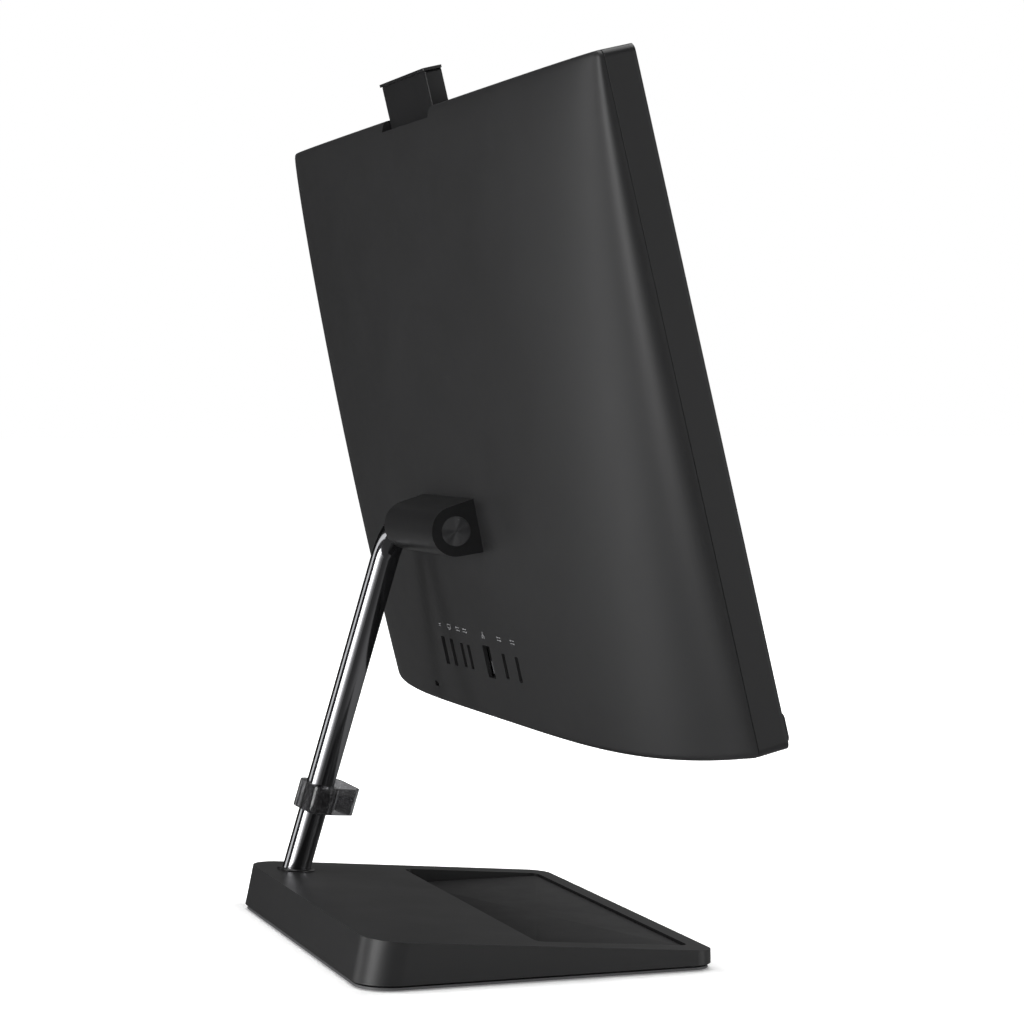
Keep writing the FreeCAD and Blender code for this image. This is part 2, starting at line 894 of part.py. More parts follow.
def make_rear_cover():
    outer = crown_solid(0.0, S.band_depth.value)
    envelope = plate(
        "cover_envelope",
        (-HALF_WIDTH, HALF_WIDTH),
        (S.band_depth, COVER_BACK + 5),
        (ZERO, S.display_height),
        S.band_corner,
    )
    shaped = DOC.addObject("Part::Common", "Shaped")
    shaped.Base = outer
    shaped.Tool = envelope
    cavity = crown_solid(S.cover_wall.value, S.band_depth.value - 2)
    hollow = carve(cavity, [notch_block(S.cover_wall, NOTCH_FLOOR - S.cover_wall)])
    shell = carve(shaped, [hollow])
    top = (S.display_height - S.cover_wall - 1, S.display_height + 1)
    bottom = (-ZERO - 1, S.cover_wall + 1)
    past_back = (S.socket_face, COVER_BACK + 5)
    cutters = [slot_block(x, width, height, past_back) for x, width, height in SOCKETS]
    cutters += vent_row(
        S.exhaust_inner,
        S.exhaust_outer,
        (S.exhaust_front, S.exhaust_front + S.exhaust_depth),
        top,
    )
    cutters += vent_row(
        S.intake_inner,
        S.intake_outer,
        (S.intake_front, S.intake_front + S.intake_depth),
        bottom,
    )
    cutters.append(notch_block(ZERO, NOTCH_FLOOR))
    passage = S.camera_half_width + S.guide_gap
    cutters.append(
        box(
            (-passage, passage),
            (S.band_depth - 1, CAMERA_BACK + S.guide_gap),
            (NOTCH_FLOOR - S.cover_wall - 1, NOTCH_FLOOR + 1),
        )
    )
    cutters.append(
        box(
            (S.lock_x - S.lock_width / 2, S.lock_x + S.lock_width / 2),
            (COVER_BACK - S.crown_bottom / 2, COVER_BACK + 5),
            (S.lock_z - S.lock_height / 2, S.lock_z + S.lock_height / 2),
        )
    )
    for side in (-1, 1):
        cutters.append(
            rod(
                "Y",
                S.hinge_bracket_back,
                S.crown_bottom,
                S.screw_radius + S.fit_gap,
                (S.housing_screw_x * side, S.axis_up),
            )
        )
    finish("rear_cover", carve(shell, cutters), "panel")
    return outer


# ---------------------------------------------------------------- display: chassis
PLATE_FRONT = LCD_BACK + S.backlight_thickness
PLATE_BACK = PLATE_FRONT + S.plate_thickness
PLATE_HALF = INNER_HALF - S.plate_margin
PLATE_TOP = S.display_height - S.band_wall - S.plate_margin
PLATE_LOW = S.band_wall + S.plate_margin
BOARD_BACK = S.board_front + S.board_thickness


def board_corners():
    for side in (-1, 1):
        for z in (S.board_low + S.pillar_inset, S.board_high - S.pillar_inset):
            yield (S.board_half_width - S.pillar_inset) * side, z


def make_chassis_plate():
    body = plate(
        "chassis_sheet",
        (-PLATE_HALF, PLATE_HALF),
        (PLATE_FRONT, PLATE_BACK),
        (PLATE_LOW, PLATE_TOP),
        6.0,
    )
    pieces = [body]
    for x, z in board_corners():
        pieces.append(
            rod("Y", PLATE_BACK, S.board_front - PLATE_BACK, S.pillar_radius, (x, z))
        )
    heights = (PLATE_LOW + S.band_corner * 3, PLATE_TOP - S.band_corner * 3)
    depth = (PLATE_BACK, PLATE_BACK + S.flange_depth)
    pieces.append(box((PLATE_HALF - S.plate_thickness, PLATE_HALF), depth, heights))
    pieces.append(box((-PLATE_HALF, -PLATE_HALF + S.plate_thickness), depth, heights))
    finish("chassis_plate", join(pieces), "panel")


def make_hinge_bracket():
    """A pressed steel bridge: two legs on the chassis plate and a web under the cover."""
    half, wall = S.hinge_bracket_half, S.hinge_bracket_wall
    heights = (S.hinge_bracket_low, S.hinge_bracket_high)
    pieces = [box((-half, half), (S.hinge_bracket_back - wall, S.hinge_bracket_back), heights)]
    for side in (-1, 1):
        edge = half * side
        leg = (edge - wall, edge) if side > 0 else (edge, edge + wall)
        foot = (edge, edge + 12) if side > 0 else (edge - 12, edge)
        pieces.append(box(leg, (PLATE_BACK, S.hinge_bracket_back - wall), heights))
        pieces.append(box(foot, (PLATE_BACK, PLATE_BACK + wall), heights))
    web = join(pieces)
    holes = [
        rod(
            "Y",
            S.hinge_bracket_back - wall * 2,
            wall * 3,
            S.screw_radius + S.fit_gap,
            (S.housing_screw_x * side, S.axis_up),
        )
        for side in (-1, 1)
    ]
    finish("hinge_bracket", carve(web, holes), "panel")


def make_mainboard():
    body = plate(
        "board_blank",
        (-S.board_half_width, S.board_half_width),
        (S.board_front, BOARD_BACK),
        (S.board_low, S.board_high),
        2.0,
    )
    chip = box(
        (S.chip_x - S.chip_size / 2, S.chip_x + S.chip_size / 2),
        (BOARD_BACK, BOARD_BACK + S.chip_height),
        (S.chip_z - S.chip_size / 2, S.chip_z + S.chip_size / 2),
    )
    pieces = [body, chip]
    memory = memory_box(0)
    pieces.append(
        box(
            (memory[0][0], memory[0][1]),
            (BOARD_BACK, BOARD_BACK + S.memory_step * 2 + 1),
            (memory[2][0] - 5, memory[2][0] - 0.2),
        )
    )
    for k in range(5):
        pieces.append(
            rod(
                "Y",
                BOARD_BACK,
                6.0,
                3.0,
                (S.chip_x - S.chip_size / 2 - 9.5, S.board_high - 6 - 7.5 * k),
            )
        )
    finish("mainboard", join(pieces), "panel")


def memory_box(layer):
    low = BOARD_BACK + S.memory_step * layer + 2.6
    return (
        (S.memory_x, S.memory_x + S.memory_length),
        (low, low + 1.2),
        (S.memory_z, S.memory_z + S.memory_height),
    )


def make_memory_modules():
    pieces = []
    for layer in range(2):
        x, y, z = memory_box(layer)
        stick = box(x, y, z)
        chips = [
            box(
                (x[0] + 4 + 15.5 * k, x[0] + 15 + 15.5 * k),
                (y[1], y[1] + 1.0),
                (z[0] + 8, z[0] + 22),
            )
            for k in range(4)
        ]
        pieces.append(join([stick] + chips))
    finish("memory_modules", group(pieces), "panel")


def flat_card(name, x, length, z, height):
    """An edge-mounted card on two raised ends above the mainboard."""
    low = BOARD_BACK + 1.5
    card = box((x, x + length), (low, low + S.card_thickness), (z, z + height))
    ends = [
        box((x, x + 4), (BOARD_BACK, low), (z, z + height)),
        box((x + length - 4, x + length), (BOARD_BACK, low), (z + height / 2 - 3, z + height / 2 + 3)),
    ]
    finish(name, join([card] + ends), "panel")


def make_disk():
    x = (S.disk_x, S.disk_x + S.disk_width)
    z = (S.disk_z, S.disk_z + S.disk_length)
    wall = S.bracket_wall
    low = PLATE_BACK + wall
    body = plate("hard_drive", x, (low, low + S.disk_thickness), z, 2.5)
    finish("hard_drive", body, "panel")
    tray = box(
        (x[0] - wall, x[1] + wall), (PLATE_BACK, low + S.disk_thickness / 2), (z[0] - wall, z[1] + wall)
    )
    inside = box(x, (low, low + S.disk_thickness + 1), (z[0], z[1] + wall * 2))
    finish("drive_bracket", carve(tray, [inside]), "panel")


def make_speakers():
    for name, side in (("speaker_left", -1), ("speaker_right", 1)):
        near = S.speaker_box_x
        far = S.speaker_box_x + S.speaker_box_length
        x = (near, far) if side > 0 else (-far, -near)
        back = PLATE_BACK + S.speaker_box_depth
        z = (S.speaker_box_z, S.speaker_box_z + S.speaker_box_height)
        cabinet = plate(name + "_cabinet", x, (PLATE_BACK, back), z, 3.0)
        middle = (x[0] + x[1]) / 2
        height = (z[0] + z[1]) / 2
        ring = rod("Y", back, 1.5, S.speaker_cone, (middle, height))
        cone = DOC.addObject("Part::Cone", "Cone")
        cone.Placement = FreeCAD.Placement(V(), TURNS["Y"])
        bind(cone, "Radius1", S.speaker_cone / 3)
        bind(cone, "Radius2", S.speaker_cone - 1)
        bind(cone, "Height", ZERO + 4)
        bind(cone, "Placement.Base.x", middle)
        bind(cone, "Placement.Base.y", back - 2)
        bind(cone, "Placement.Base.z", height)
        finish(name, carve(join([cabinet, ring]), [cone]), "panel")


# ---------------------------------------------------------------- display: cooling
FAN_BACK = PLATE_BACK + S.fan_depth
FAN_HALF = S.fan_size / 2
ROTOR_RADIUS = FAN_HALF - S.fan_wall - S.fan_clearance
FIN_LOW = S.fan_z + FAN_HALF + 1


def make_cooling():
    chip_top = BOARD_BACK + S.chip_height
    margin = S.chip_size / 2 + S.spreader_margin
    block = box(
        (S.chip_x - margin, S.chip_x + margin),
        (chip_top, chip_top + S.spreader_thickness),
        (S.chip_z - margin, S.chip_z + margin),
    )
    finish("heatsink_block", block, "panel")
    pipe_front = chip_top + S.spreader_thickness
    make_heat_pipe(pipe_front)
    x = (S.fan_x - FAN_HALF, S.fan_x + FAN_HALF)
    z = (S.fan_z - FAN_HALF, S.fan_z + FAN_HALF)
    case = plate("fan_case", x, (PLATE_BACK, FAN_BACK), z, 8.0)
    wall = S.fan_wall
    room = rod(
        "Y", PLATE_BACK + wall, S.fan_depth - wall * 2, FAN_HALF - wall, (S.fan_x, S.fan_z)
    )
    outlet = box(
        (x[0] + 10, x[1] - wall - 3),
        (PLATE_BACK + wall, FAN_BACK - wall),
        (S.fan_z + 10, z[1] + 1),
    )
    inlet = rod("Y", FAN_BACK - wall * 2, wall * 3, S.fan_size * 0.34, (S.fan_x, S.fan_z))
    axle_hole = rod(
        "Y",
        PLATE_BACK - 1,
        wall + 2,
        S.axle_radius + S.axle_clearance,
        (S.fan_x, S.fan_z),
    )
    room_all = join([room, outlet, inlet, axle_hole])
    finish("fan_housing", carve(case, [room_all]), "panel")
    make_fan_rotor()
    make_fin_stack(pipe_front)


def make_heat_pipe(front):
    """A copper pipe along the block, up beside the blower and along the fins."""
    body = new_body("heat_pipe_body")
    y_line = front + S.pipe_radius
    start = S.chip_x - S.chip_size / 2
    turn_x = S.fan_x - FAN_HALF - S.pipe_bend
    fin_middle = FIN_LOW + S.fin_height / 2
    route = [
        (start, S.chip_z),
        (turn_x, S.chip_z),
        (turn_x, fin_middle),
        (S.fan_x + FAN_HALF, fin_middle),
    ]
    sweep(body, route, y_line, S.pipe_bend, S.pipe_radius, "Additive")
    finish("heat_pipe", body, "panel")


def make_fan_rotor():
    low = PLATE_BACK + S.fan_wall + 1
    high = FAN_BACK - S.fan_wall - 1
    centre = (S.fan_x, S.fan_z)
    hub = rod("Y", low, high - low, S.hub_radius, centre)
    axle = rod("Y", PLATE_BACK + 0.2, low - PLATE_BACK, S.axle_radius, centre)
    pieces = [hub, axle]
    count = int(S.blade_count.value)
    for k in range(count):
        blade = box(
            (S.hub_radius - 1, ROTOR_RADIUS),
            (low, high),
            (ZERO - S.blade_thickness / 2, S.blade_thickness / 2),
        )
        spoke = group([blade])
        turn = 360.0 / count * k
        spoke.Placement = FreeCAD.Placement(V(), FreeCAD.Rotation(V(0, 1, 0), turn))
        bind(spoke, "Placement.Base.x", S.fan_x)
        bind(spoke, "Placement.Base.z", S.fan_z)
        pieces.append(spoke)
    finish("fan_rotor", join(pieces), "panel")


def make_fin_stack(back):
    """Thin fins between two plates, above the blower's outlet and under the heat pipe."""
    left = S.fan_x - FAN_HALF
    right = S.fan_x + FAN_HALF
    z = (FIN_LOW, FIN_LOW + S.fin_height)
    y = (PLATE_BACK, back)
    pieces = [
        box((left, right), (y[0], y[0] + S.fin_thickness), z),
        box((left, right), (y[1] - S.fin_thickness, y[1]), z),
    ]
    for k in range(steps(left, right - S.fin_thickness, S.fin_pitch)):
        x = left + S.fin_pitch * k
        pieces.append(box((x, x + S.fin_thickness), y, z))
    finish("fin_stack", join(pieces), "panel")


# ---------------------------------------------------------------- display: sockets
def shell_socket(x, width, height, tongue):
    """A metal or plastic socket shell standing on the mainboard, open to the back."""
    wall = S.socket_shell
    half, tall = width / 2, height / 2
    z = S.socket_row_z
    outside = box(
        (x - half - wall, x + half + wall), (BOARD_BACK, S.socket_face), (z - tall - wall, z + tall + wall)
    )
    inside = box((x - half, x + half), (S.socket_face - 9, S.socket_face + 1), (z - tall, z + tall))
    body = carve(outside, [inside])
    back = S.socket_face - S.tongue_setback
    if tongue == "pin":
        core = rod("Y", S.socket_face - 9.5, back - S.socket_face + 9.5, S.dc_pin_radius, (x, z))
    else:
        core = box(
            (x - width * 0.18, x + width * 0.18),
            (S.socket_face - 9.5, back),
            (z - tall + 1.4, z + tall - 1.4),
        )
    return join([body, core])


def make_sockets():
    finish(
        "dc_inlet",
        shell_socket(S.dc_x, S.dc_width, S.dc_height, "pin"),
        "panel",
    )
    finish(
        "hdmi_port",
        shell_socket(S.hdmi_x, S.hdmi_width, S.hdmi_height, "tongue"),
        "panel",
    )
    places = (S.usb_x_first, S.usb_x_second, S.usb_x_third, S.usb_x_fourth)
    usb = [shell_socket(x, S.usb_width, S.usb_height, "tongue") for x in places]
    finish("usb_ports", group(usb), "panel")


LAN_LOW = S.socket_row_z - S.lan_height / 2
LAN_TOP = S.socket_row_z + S.lan_height / 2
JAW_TOP = LAN_LOW + S.lan_jaw_height
JAW_PIN_Z = LAN_LOW + 1.2
JAW_PIN_Y = S.socket_face - 2.2


def make_lan_port():
    """A flat network socket: its lower wall is a sprung jaw that swings out."""
    wall = S.socket_shell
    half = S.lan_width / 2
    outside = box(
        (S.lan_x - half - wall, S.lan_x + half + wall), (BOARD_BACK, S.socket_face), (LAN_LOW - wall, LAN_TOP)
    )
    inside = box(
        (S.lan_x - half, S.lan_x + half),
        (S.socket_face - 10, S.socket_face + 1),
        (JAW_TOP - 0.5, LAN_TOP - wall),
    )
    jaw_room = box(
        (S.lan_x - half, S.lan_x + half),
        (S.socket_face - 7, S.socket_face + 1),
        (LAN_LOW, JAW_TOP),
    )
    pin_hole = rod(
        "X",
        S.lan_x - half - wall - 1,
        S.lan_width + wall * 2 + 2,
        S.lan_pin_radius + S.lan_pin_clearance,
        (JAW_PIN_Y, JAW_PIN_Z),
    )
    body = carve(outside, [join([inside, jaw_room, pin_hole])])
    finish("lan_port", body, "panel")
    gap = S.lan_jaw_gap
    side = (S.lan_x - half + gap, S.lan_x + half - gap)
    flap = box(
        side,
        (S.socket_face - S.lan_jaw_thickness, S.socket_face),
        (JAW_PIN_Z, JAW_TOP - gap),
    )
    knuckle = rod("X", side[0], side[1] - side[0], 0.9 + ZERO, (JAW_PIN_Y, JAW_PIN_Z))
    pin = rod(
        "X",
        S.lan_x - half - wall,
        S.lan_width + wall * 2,
        S.lan_pin_radius,
        (JAW_PIN_Y, JAW_PIN_Z),
    )
    neck = box(
        side,
        (JAW_PIN_Y, S.socket_face),
        (JAW_PIN_Z, JAW_PIN_Z + 0.9),
    )
    finish("lan_jaw", join([flap, knuckle, pin, neck]), "panel")


# ---------------------------------------------------------------- display: power button
def make_power_button():
    """A round button in the right-hand edge, with a flange behind the wall."""
    face = HALF_WIDTH
    centre = (S.button_y, S.button_z)
    stem = rod("X", face - S.button_length, S.button_length, S.button_radius, centre)
    behind = face - S.band_wall - S.button_flange
    flange = rod("X", behind - 0.2, S.button_flange, S.button_radius + 0.8, centre)
    finish("power_button", join([stem, flange]), "panel")
    switch_top = face - S.button_length - S.button_travel - S.switch_gap
    board_top = PLATE_HALF + S.switch_board_thickness
    board = box(
        (PLATE_HALF, board_top),
        (S.button_y - S.button_radius + 0.2, S.button_y + 3),
        (S.button_z - 9, S.button_z + 9),
    )
    switch = box(
        (board_top, switch_top),
        (S.button_y - 2.0, S.button_y + 2.0),
        (S.button_z - 2.5, S.button_z + 2.5),
    )
    finish("power_button_board", join([board, switch]), "panel")


# ---------------------------------------------------------------- display: camera module
def make_camera():
    half, wall = S.camera_half_width, S.camera_wall
    case = plate(
        "camera_case",
        (-half, half),
        (S.camera_front, CAMERA_BACK),
        (CAMERA_LOW, CAMERA_TOP),
    )
    hole_through(
        case,
        S.camera_front - 1,
        lambda flat: draw_rectangle(
            flat, (-half + wall * 2, half - wall * 2), (CAMERA_LOW + wall, CAMERA_TOP - wall)
        ),
        S.camera_depth - wall + 1,
    )
    finish("camera_body", case, "panel")
    lid = new_body("lid_plate")
    outline = new_sketch(lid, "XY_Plane", CAMERA_TOP)
    draw_rounded(
        outline,
        (-half - S.lid_overhang, half + S.lid_overhang),
        (S.camera_front - S.lid_front_lap, CAMERA_BACK + S.lid_overhang),
        ZERO + 1.2,
    )
    extrude(lid, outline, S.lid_thickness)
    finish("camera_lid", lid, "panel")
    window_low = CAMERA_TOP - wall - S.lens_window_height - 2
    glass = plate(
        "camera_window",
        (-half + wall * 2, half - wall * 2),
        (S.camera_front, S.camera_front + S.lens_window_thickness),
        (CAMERA_LOW + wall, CAMERA_TOP - wall),
    )
    finish("camera_window", glass, "panel")
    back = CAMERA_BACK - wall
    front = S.camera_front + S.lens_window_thickness
    middle = window_low + S.lens_window_height / 2
    board = box(
        (-S.lens_window_half, S.lens_window_half), (back - 1.2, back), (window_low, window_low + 10)
    )
    finish("camera_board", board, "panel")
    barrel = rod("Y", front + 0.4, back - 1.2 - front - 0.4, S.lens_radius, (ZERO, middle))
    dish = rod("Y", front, 1.0 + ZERO, S.lens_radius * 0.6, (ZERO, middle))
    finish("camera_lens", carve(barrel, [dish]), "panel")


def make_camera_guide():
    """A channel under the recess that the module slides in; its floor is the lower stop."""
    gap, wall = S.guide_gap, S.guide_wall
    half = S.camera_half_width + gap
    y = (S.camera_front - gap, CAMERA_BACK + gap)
    floor = CAMERA_LOW - S.camera_travel
    z = (floor - wall, NOTCH_FLOOR - S.cover_wall)
    outside = box((-half - wall, half + wall), (y[0] - wall, y[1] + wall), z)
    inside = box((-half, half), y, (floor, z[1] + 1))
    front_window = box(
        (-half + wall * 8, half - wall * 8), (y[0] - wall - 1, y[0] + 1), (floor + wall * 8, z[1] - wall * 8)
    )
    channel = carve(outside, [join([inside, front_window])])
    feet = []
    for low, high in ((-half - wall, -half + wall * 6), (half - wall * 6, half + wall)):
        feet.append(box((low, high), (PLATE_BACK, y[0] - wall), (z[0], z[0] + wall * 6)))
    finish("camera_guide", join([channel] + feet), "panel")


# ---------------------------------------------------------------- tilt hinge
def barrel_tangent(foot_y, foot_z, upper):
    """Where a line from a foot point touches the barrel circle."""
    dy, dz = foot_y - S.axis_back.value, foot_z - S.axis_up.value
    distance = math.hypot(dy, dz)
    radius = S.barrel_radius.value
    spread = math.acos(radius / distance)
    toward = math.atan2(dz, dy)
    angle = toward - spread if upper else toward + spread
    return angle


def make_hinge_housing(crown):
    """A bar of D section on the cover's back, bored for the spindle."""
    body = new_body("housing_blank")
    flat = new_sketch(body, "YZ_Plane", -S.hinge_half_width)
    inner = S.axis_back - S.barrel_radius - 1.5
    upper = barrel_tangent(inner.value, S.housing_top.value, True)
    lower = barrel_tangent(inner.value, S.housing_foot.value, False)
    middle = V(S.axis_back.value, S.axis_up.value, 0)
    radius = S.barrel_radius.value
    top_foot = V(inner.value, S.housing_top.value, 0)
    low_foot = V(inner.value, S.housing_foot.value, 0)
    top_touch = middle + V(math.cos(upper), math.sin(upper), 0) * radius
    low_touch = middle + V(math.cos(lower), math.sin(lower), 0) * radius
    arc = Part.ArcOfCircle(Part.Circle(middle, V(0, 0, 1), radius), lower, upper)
    bow = flat.addGeometry(arc, False)
    roof = flat.addGeometry(Part.LineSegment(top_touch, top_foot), False)
    wall = flat.addGeometry(Part.LineSegment(top_foot, low_foot), False)
    floor = flat.addGeometry(Part.LineSegment(low_foot, low_touch), False)
    flat.addConstraint(Sketcher.Constraint("Tangent", bow, 2, roof, 1))
    flat.addConstraint(Sketcher.Constraint("Coincident", roof, 2, wall, 1))
    flat.addConstraint(Sketcher.Constraint("Coincident", wall, 2, floor, 1))
    flat.addConstraint(Sketcher.Constraint("Tangent", floor, 2, bow, 1))
    rule = flat.addConstraint(Sketcher.Constraint("Radius", bow, radius))
    bind_constraint(flat, rule, S.barrel_radius)
    pin_point(flat, (bow, 3), S.axis_back, S.axis_up)
    pin_point(flat, (roof, 2), inner, S.housing_top)
    pin_point(flat, (wall, 2), inner, S.housing_foot)
    extrude(body, flat, S.hinge_half_width * 2)
    centre = (S.axis_back, S.axis_up)
    half = S.hinge_half_width
    bore = rod("X", -half - 1, half * 2 + 2, S.spindle_radius + 0.5, centre)
    seat = rod("X", -S.sleeve_half_length, S.sleeve_half_length * 2, S.sleeve_radius, centre)
    nut_room = rod(
        "X",
        -half + S.cap_thickness,
        half - S.cap_thickness - S.sleeve_half_length,
        S.pocket_radius,
        centre,
    )
    cap_seat = rod("X", -half - 1, S.cap_thickness + S.cap_recess + 1, S.cap_radius, centre)
    mouth = rod(
        "X", half - S.mouth_depth, S.mouth_depth + 1, S.pole_radius + S.mouth_gap, centre
    )
    passage = join([bore, seat, nut_room, cap_seat, mouth])
    screw_holes = [
        rod(
            "Y",
            S.hinge_bracket_back,
            S.axis_back - S.sleeve_radius - S.hinge_bracket_back - 1,
            S.screw_radius + S.fit_gap,
            (S.housing_screw_x * side, S.axis_up),
        )
        for side in (-1, 1)
    ]
    room = join([passage] + screw_holes)
    finish("hinge_housing", carve(body, [group([crown]), room]), "panel")


def make_hinge_inside():
    centre = (S.axis_back, S.axis_up)
    half = S.hinge_half_width
    disc = rod("X", -half + S.cap_recess, S.cap_thickness, S.cap_radius - S.fit_gap, centre)
    finish("hinge_end_cap", disc, "panel")
    sleeve = carve(
        rod(
            "X",
            -S.sleeve_half_length,
            S.sleeve_half_length * 2,
            S.sleeve_radius - S.fit_gap,
            centre,
        ),
        [
            rod(
                "X",
                -S.sleeve_half_length - 1,
                S.sleeve_half_length * 2 + 2,
                S.spindle_radius + S.spindle_clearance,
                centre,
            )
        ],
    )
    finish("friction_sleeve", sleeve, "panel")
    screws = []
    for side in (-1, 1):
        place = (S.housing_screw_x * side, S.axis_up)
        back = S.hinge_bracket_back - S.hinge_bracket_wall
        head = rod("Y", back - 1.6, 1.6 + ZERO, S.screw_head, place)
        shank = rod(
            "Y", back - 0.1, S.axis_back - S.sleeve_radius - back - 2, S.screw_radius, place
        )
        screws.append(join([head, shank]))
    finish("housing_screws", group(screws), "panel")


def make_spindle():
    """Shaft, springs and nut that stay with the pole while the display tilts."""
    centre = (HINGE_Y, HINGE_Z)
    half = S.hinge_half_width
    nut_start = -S.sleeve_half_length - S.spring_pack - S.nut_thickness - 0.2
    inside = S.pole_radius - S.pole_wall
    shaft = rod("X", nut_start - 1, half - S.mouth_depth - nut_start + 1.5, S.spindle_radius, centre)
    plug = rod("X", half - S.mouth_depth + 0.5, 14 + ZERO, inside, centre)
    finish("hinge_spindle", join([shaft, plug]))
    rings = []
    count = 4
    for k in range(count):
        start = -S.sleeve_half_length - 0.1 - S.spring_pack / count * (k + 1)
        thick = S.spring_pack / count - 0.1
        rings.append(
            carve(
                rod("X", start, thick, S.spring_radius, centre),
                [rod("X", start - 1, thick + 2, S.spindle_radius + 0.02, centre)],
            )
        )
    finish("disc_springs", group(rings))
    nut = carve(
        prism(6, "X", nut_start, S.nut_thickness, S.nut_across, centre),
        [rod("X", nut_start - 1, S.nut_thickness + 2, S.spindle_radius, centre)],
    )
    finish("spindle_nut", nut)


# ---------------------------------------------------------------- stand: pole
def stand_up(thing):
    """Turn a body about the hinge axis so that its local -Z runs down the pole's slope."""
    lean = math.degrees(math.atan2(POLE_REACH.value, POLE_RISE.value))
    thing.Placement = FreeCAD.Placement(V(), FreeCAD.Rotation(V(1, 0, 0), lean))
    bind(thing, "Placement.Base.y", HINGE_Y)
    bind(thing, "Placement.Base.z", HINGE_Z)
    text = f"atan({POLE_REACH.text} / {POLE_RISE.text})"
    thing.setExpression("Placement.Rotation.Angle", text)


SOCKET_DEPTH = 10.0


def make_pole():
    """A bent tube: level into the hinge housing, then down a slope into the base."""
    run = S.pole_lean_x / POLE_LENGTH
    route = [
        (S.hinge_half_width - S.mouth_depth + 0.5, ZERO),
        (POLE_TOP_X, ZERO),
        (S.pole_foot_x + run * SOCKET_DEPTH, -POLE_LENGTH - SOCKET_DEPTH),
    ]
    body = new_body("pole_body")
    sweep(body, route, ZERO, S.pole_bend, S.pole_radius, "Additive")
    solid = body.Shape.Volume
    sweep(body, route, ZERO, S.pole_bend, S.pole_radius - S.pole_wall, "Subtractive")
    if not body.Shape.Volume < solid:
        raise RuntimeError("the pole is not hollow")
    stand_up(body)
    finish("pole", body)


def pole_direction():
    """Unit vector up the straight part of the pole, in the row frame."""
    rise = V(-S.pole_lean_x.value, -POLE_REACH.value, POLE_RISE.value)
    return rise.normalize()


def along_pole(distance):
    """A point up the pole's axis from its foot, as three Sizes."""
    length = root(S.pole_lean_x * S.pole_lean_x + POLE_LENGTH * POLE_LENGTH)
    share = distance / length
    return (
        S.pole_foot_x - S.pole_lean_x * share,
        S.pole_foot_y - POLE_REACH * share,
        POLE_FOOT_Z + POLE_RISE * share,
    )


def stand_on_pole(thing, distance, spin=0.0):
    """Stand a body on the pole's axis, its Z along the pole, turned about it by spin."""
    tip = FreeCAD.Rotation(V(0, 0, 1), pole_direction())
    thing.Placement = FreeCAD.Placement(V(), tip * FreeCAD.Rotation(V(0, 0, 1), spin))
    for axis, place in zip("xyz", along_pole(distance)):
        bind(thing, f"Placement.Base.{axis}", place)


# ---------------------------------------------------------------- stand: base
BASE_FRONT = -S.base_depth / 2
BASE_REAR = S.base_depth / 2
TRAY_Y = (BASE_FRONT + S.tray_front, BASE_FRONT + S.tray_front + S.tray_length)


def base_loft(name, inset, low, high):
    """The base's footprint drawn at two heights and lofted; the top one has the draft taken off."""
    body = new_body(name)
    tall = S.base_rear_height
    flats = []
    for height in (low, high):
        share = height / tall
        flat = new_sketch(body, "XY_Plane", height)
        side = S.base_half_width - S.base_draft_side * share - inset
        rear = BASE_REAR - S.base_draft_rear * share - inset
        draw_rounded(
            flat,
            (-side, side),
            (BASE_FRONT + inset, rear),
            S.base_corner_rear - inset,
            S.base_corner_front - inset,
        )
        flats.append(flat)
    loft = body.newObject("PartDesign::AdditiveLoft", "Loft")
    loft.Profile = flats[0]
    loft.Sections = [(flats[1], [""])]
    loft.Ruled = True
    DOC.recompute()
    return body


def slope_block(drop, name):
    """Everything above the sloping top, lowered by drop."""
    body = new_body(name)
    side = S.base_half_width + 10
    flat = new_sketch(body, "YZ_Plane", -side)
    front, rear = BASE_FRONT - 10, BASE_REAR + 10
    ceiling = S.base_rear_height + 30
    draw_polygon(
        flat,
        [
            (front, base_top(front) - drop),
            (rear, base_top(rear) - drop),
            (rear, ceiling),
            (front, ceiling),
        ],
    )
    extrude(body, flat, side * 2)
    return body


def tray_block(name, grow, low):
    """The tray's plan, grown by a wall, from a floor height upwards."""
    body = new_body(name)
    flat = new_sketch(body, "XY_Plane", low)
    half = S.tray_half_width + grow
    draw_rectangle(flat, (-half, half), (TRAY_Y[0] - grow, TRAY_Y[1] + grow))
    pad = extrude(body, flat, S.base_rear_height + 10 - low)
    round_edges(body, pad, S.tray_corner + grow, is_along(V(0, 0, 1)))
    return body


CUT_HEIGHT = S.base_rear_height + 6
PLATE_LOW_Z = S.bottom_plate_z
PLATE_TOP_Z = S.bottom_plate_z + S.bottom_plate_thickness
WEIGHT_TOP = PLATE_TOP_Z + S.weight_thickness
MAT_LOW = S.tray_floor - S.mat_thickness


def post_places():
    """Where the cover is screwed down: three posts at the rear and three under the tray."""
    for y, top in (
        (BASE_REAR - S.foot_inset, base_top(BASE_REAR - S.foot_inset) - S.base_wall / 2),
        (BASE_FRONT + S.foot_inset, MAT_LOW - S.tray_wall / 2),
    ):
        for side in (-1, 0, 1):
            yield S.post_spread * side, y, top


def screw_shanks(places, low, high, radius):
    return [rod("Z", low, high - low, radius, (x, y)) for x, y in places]


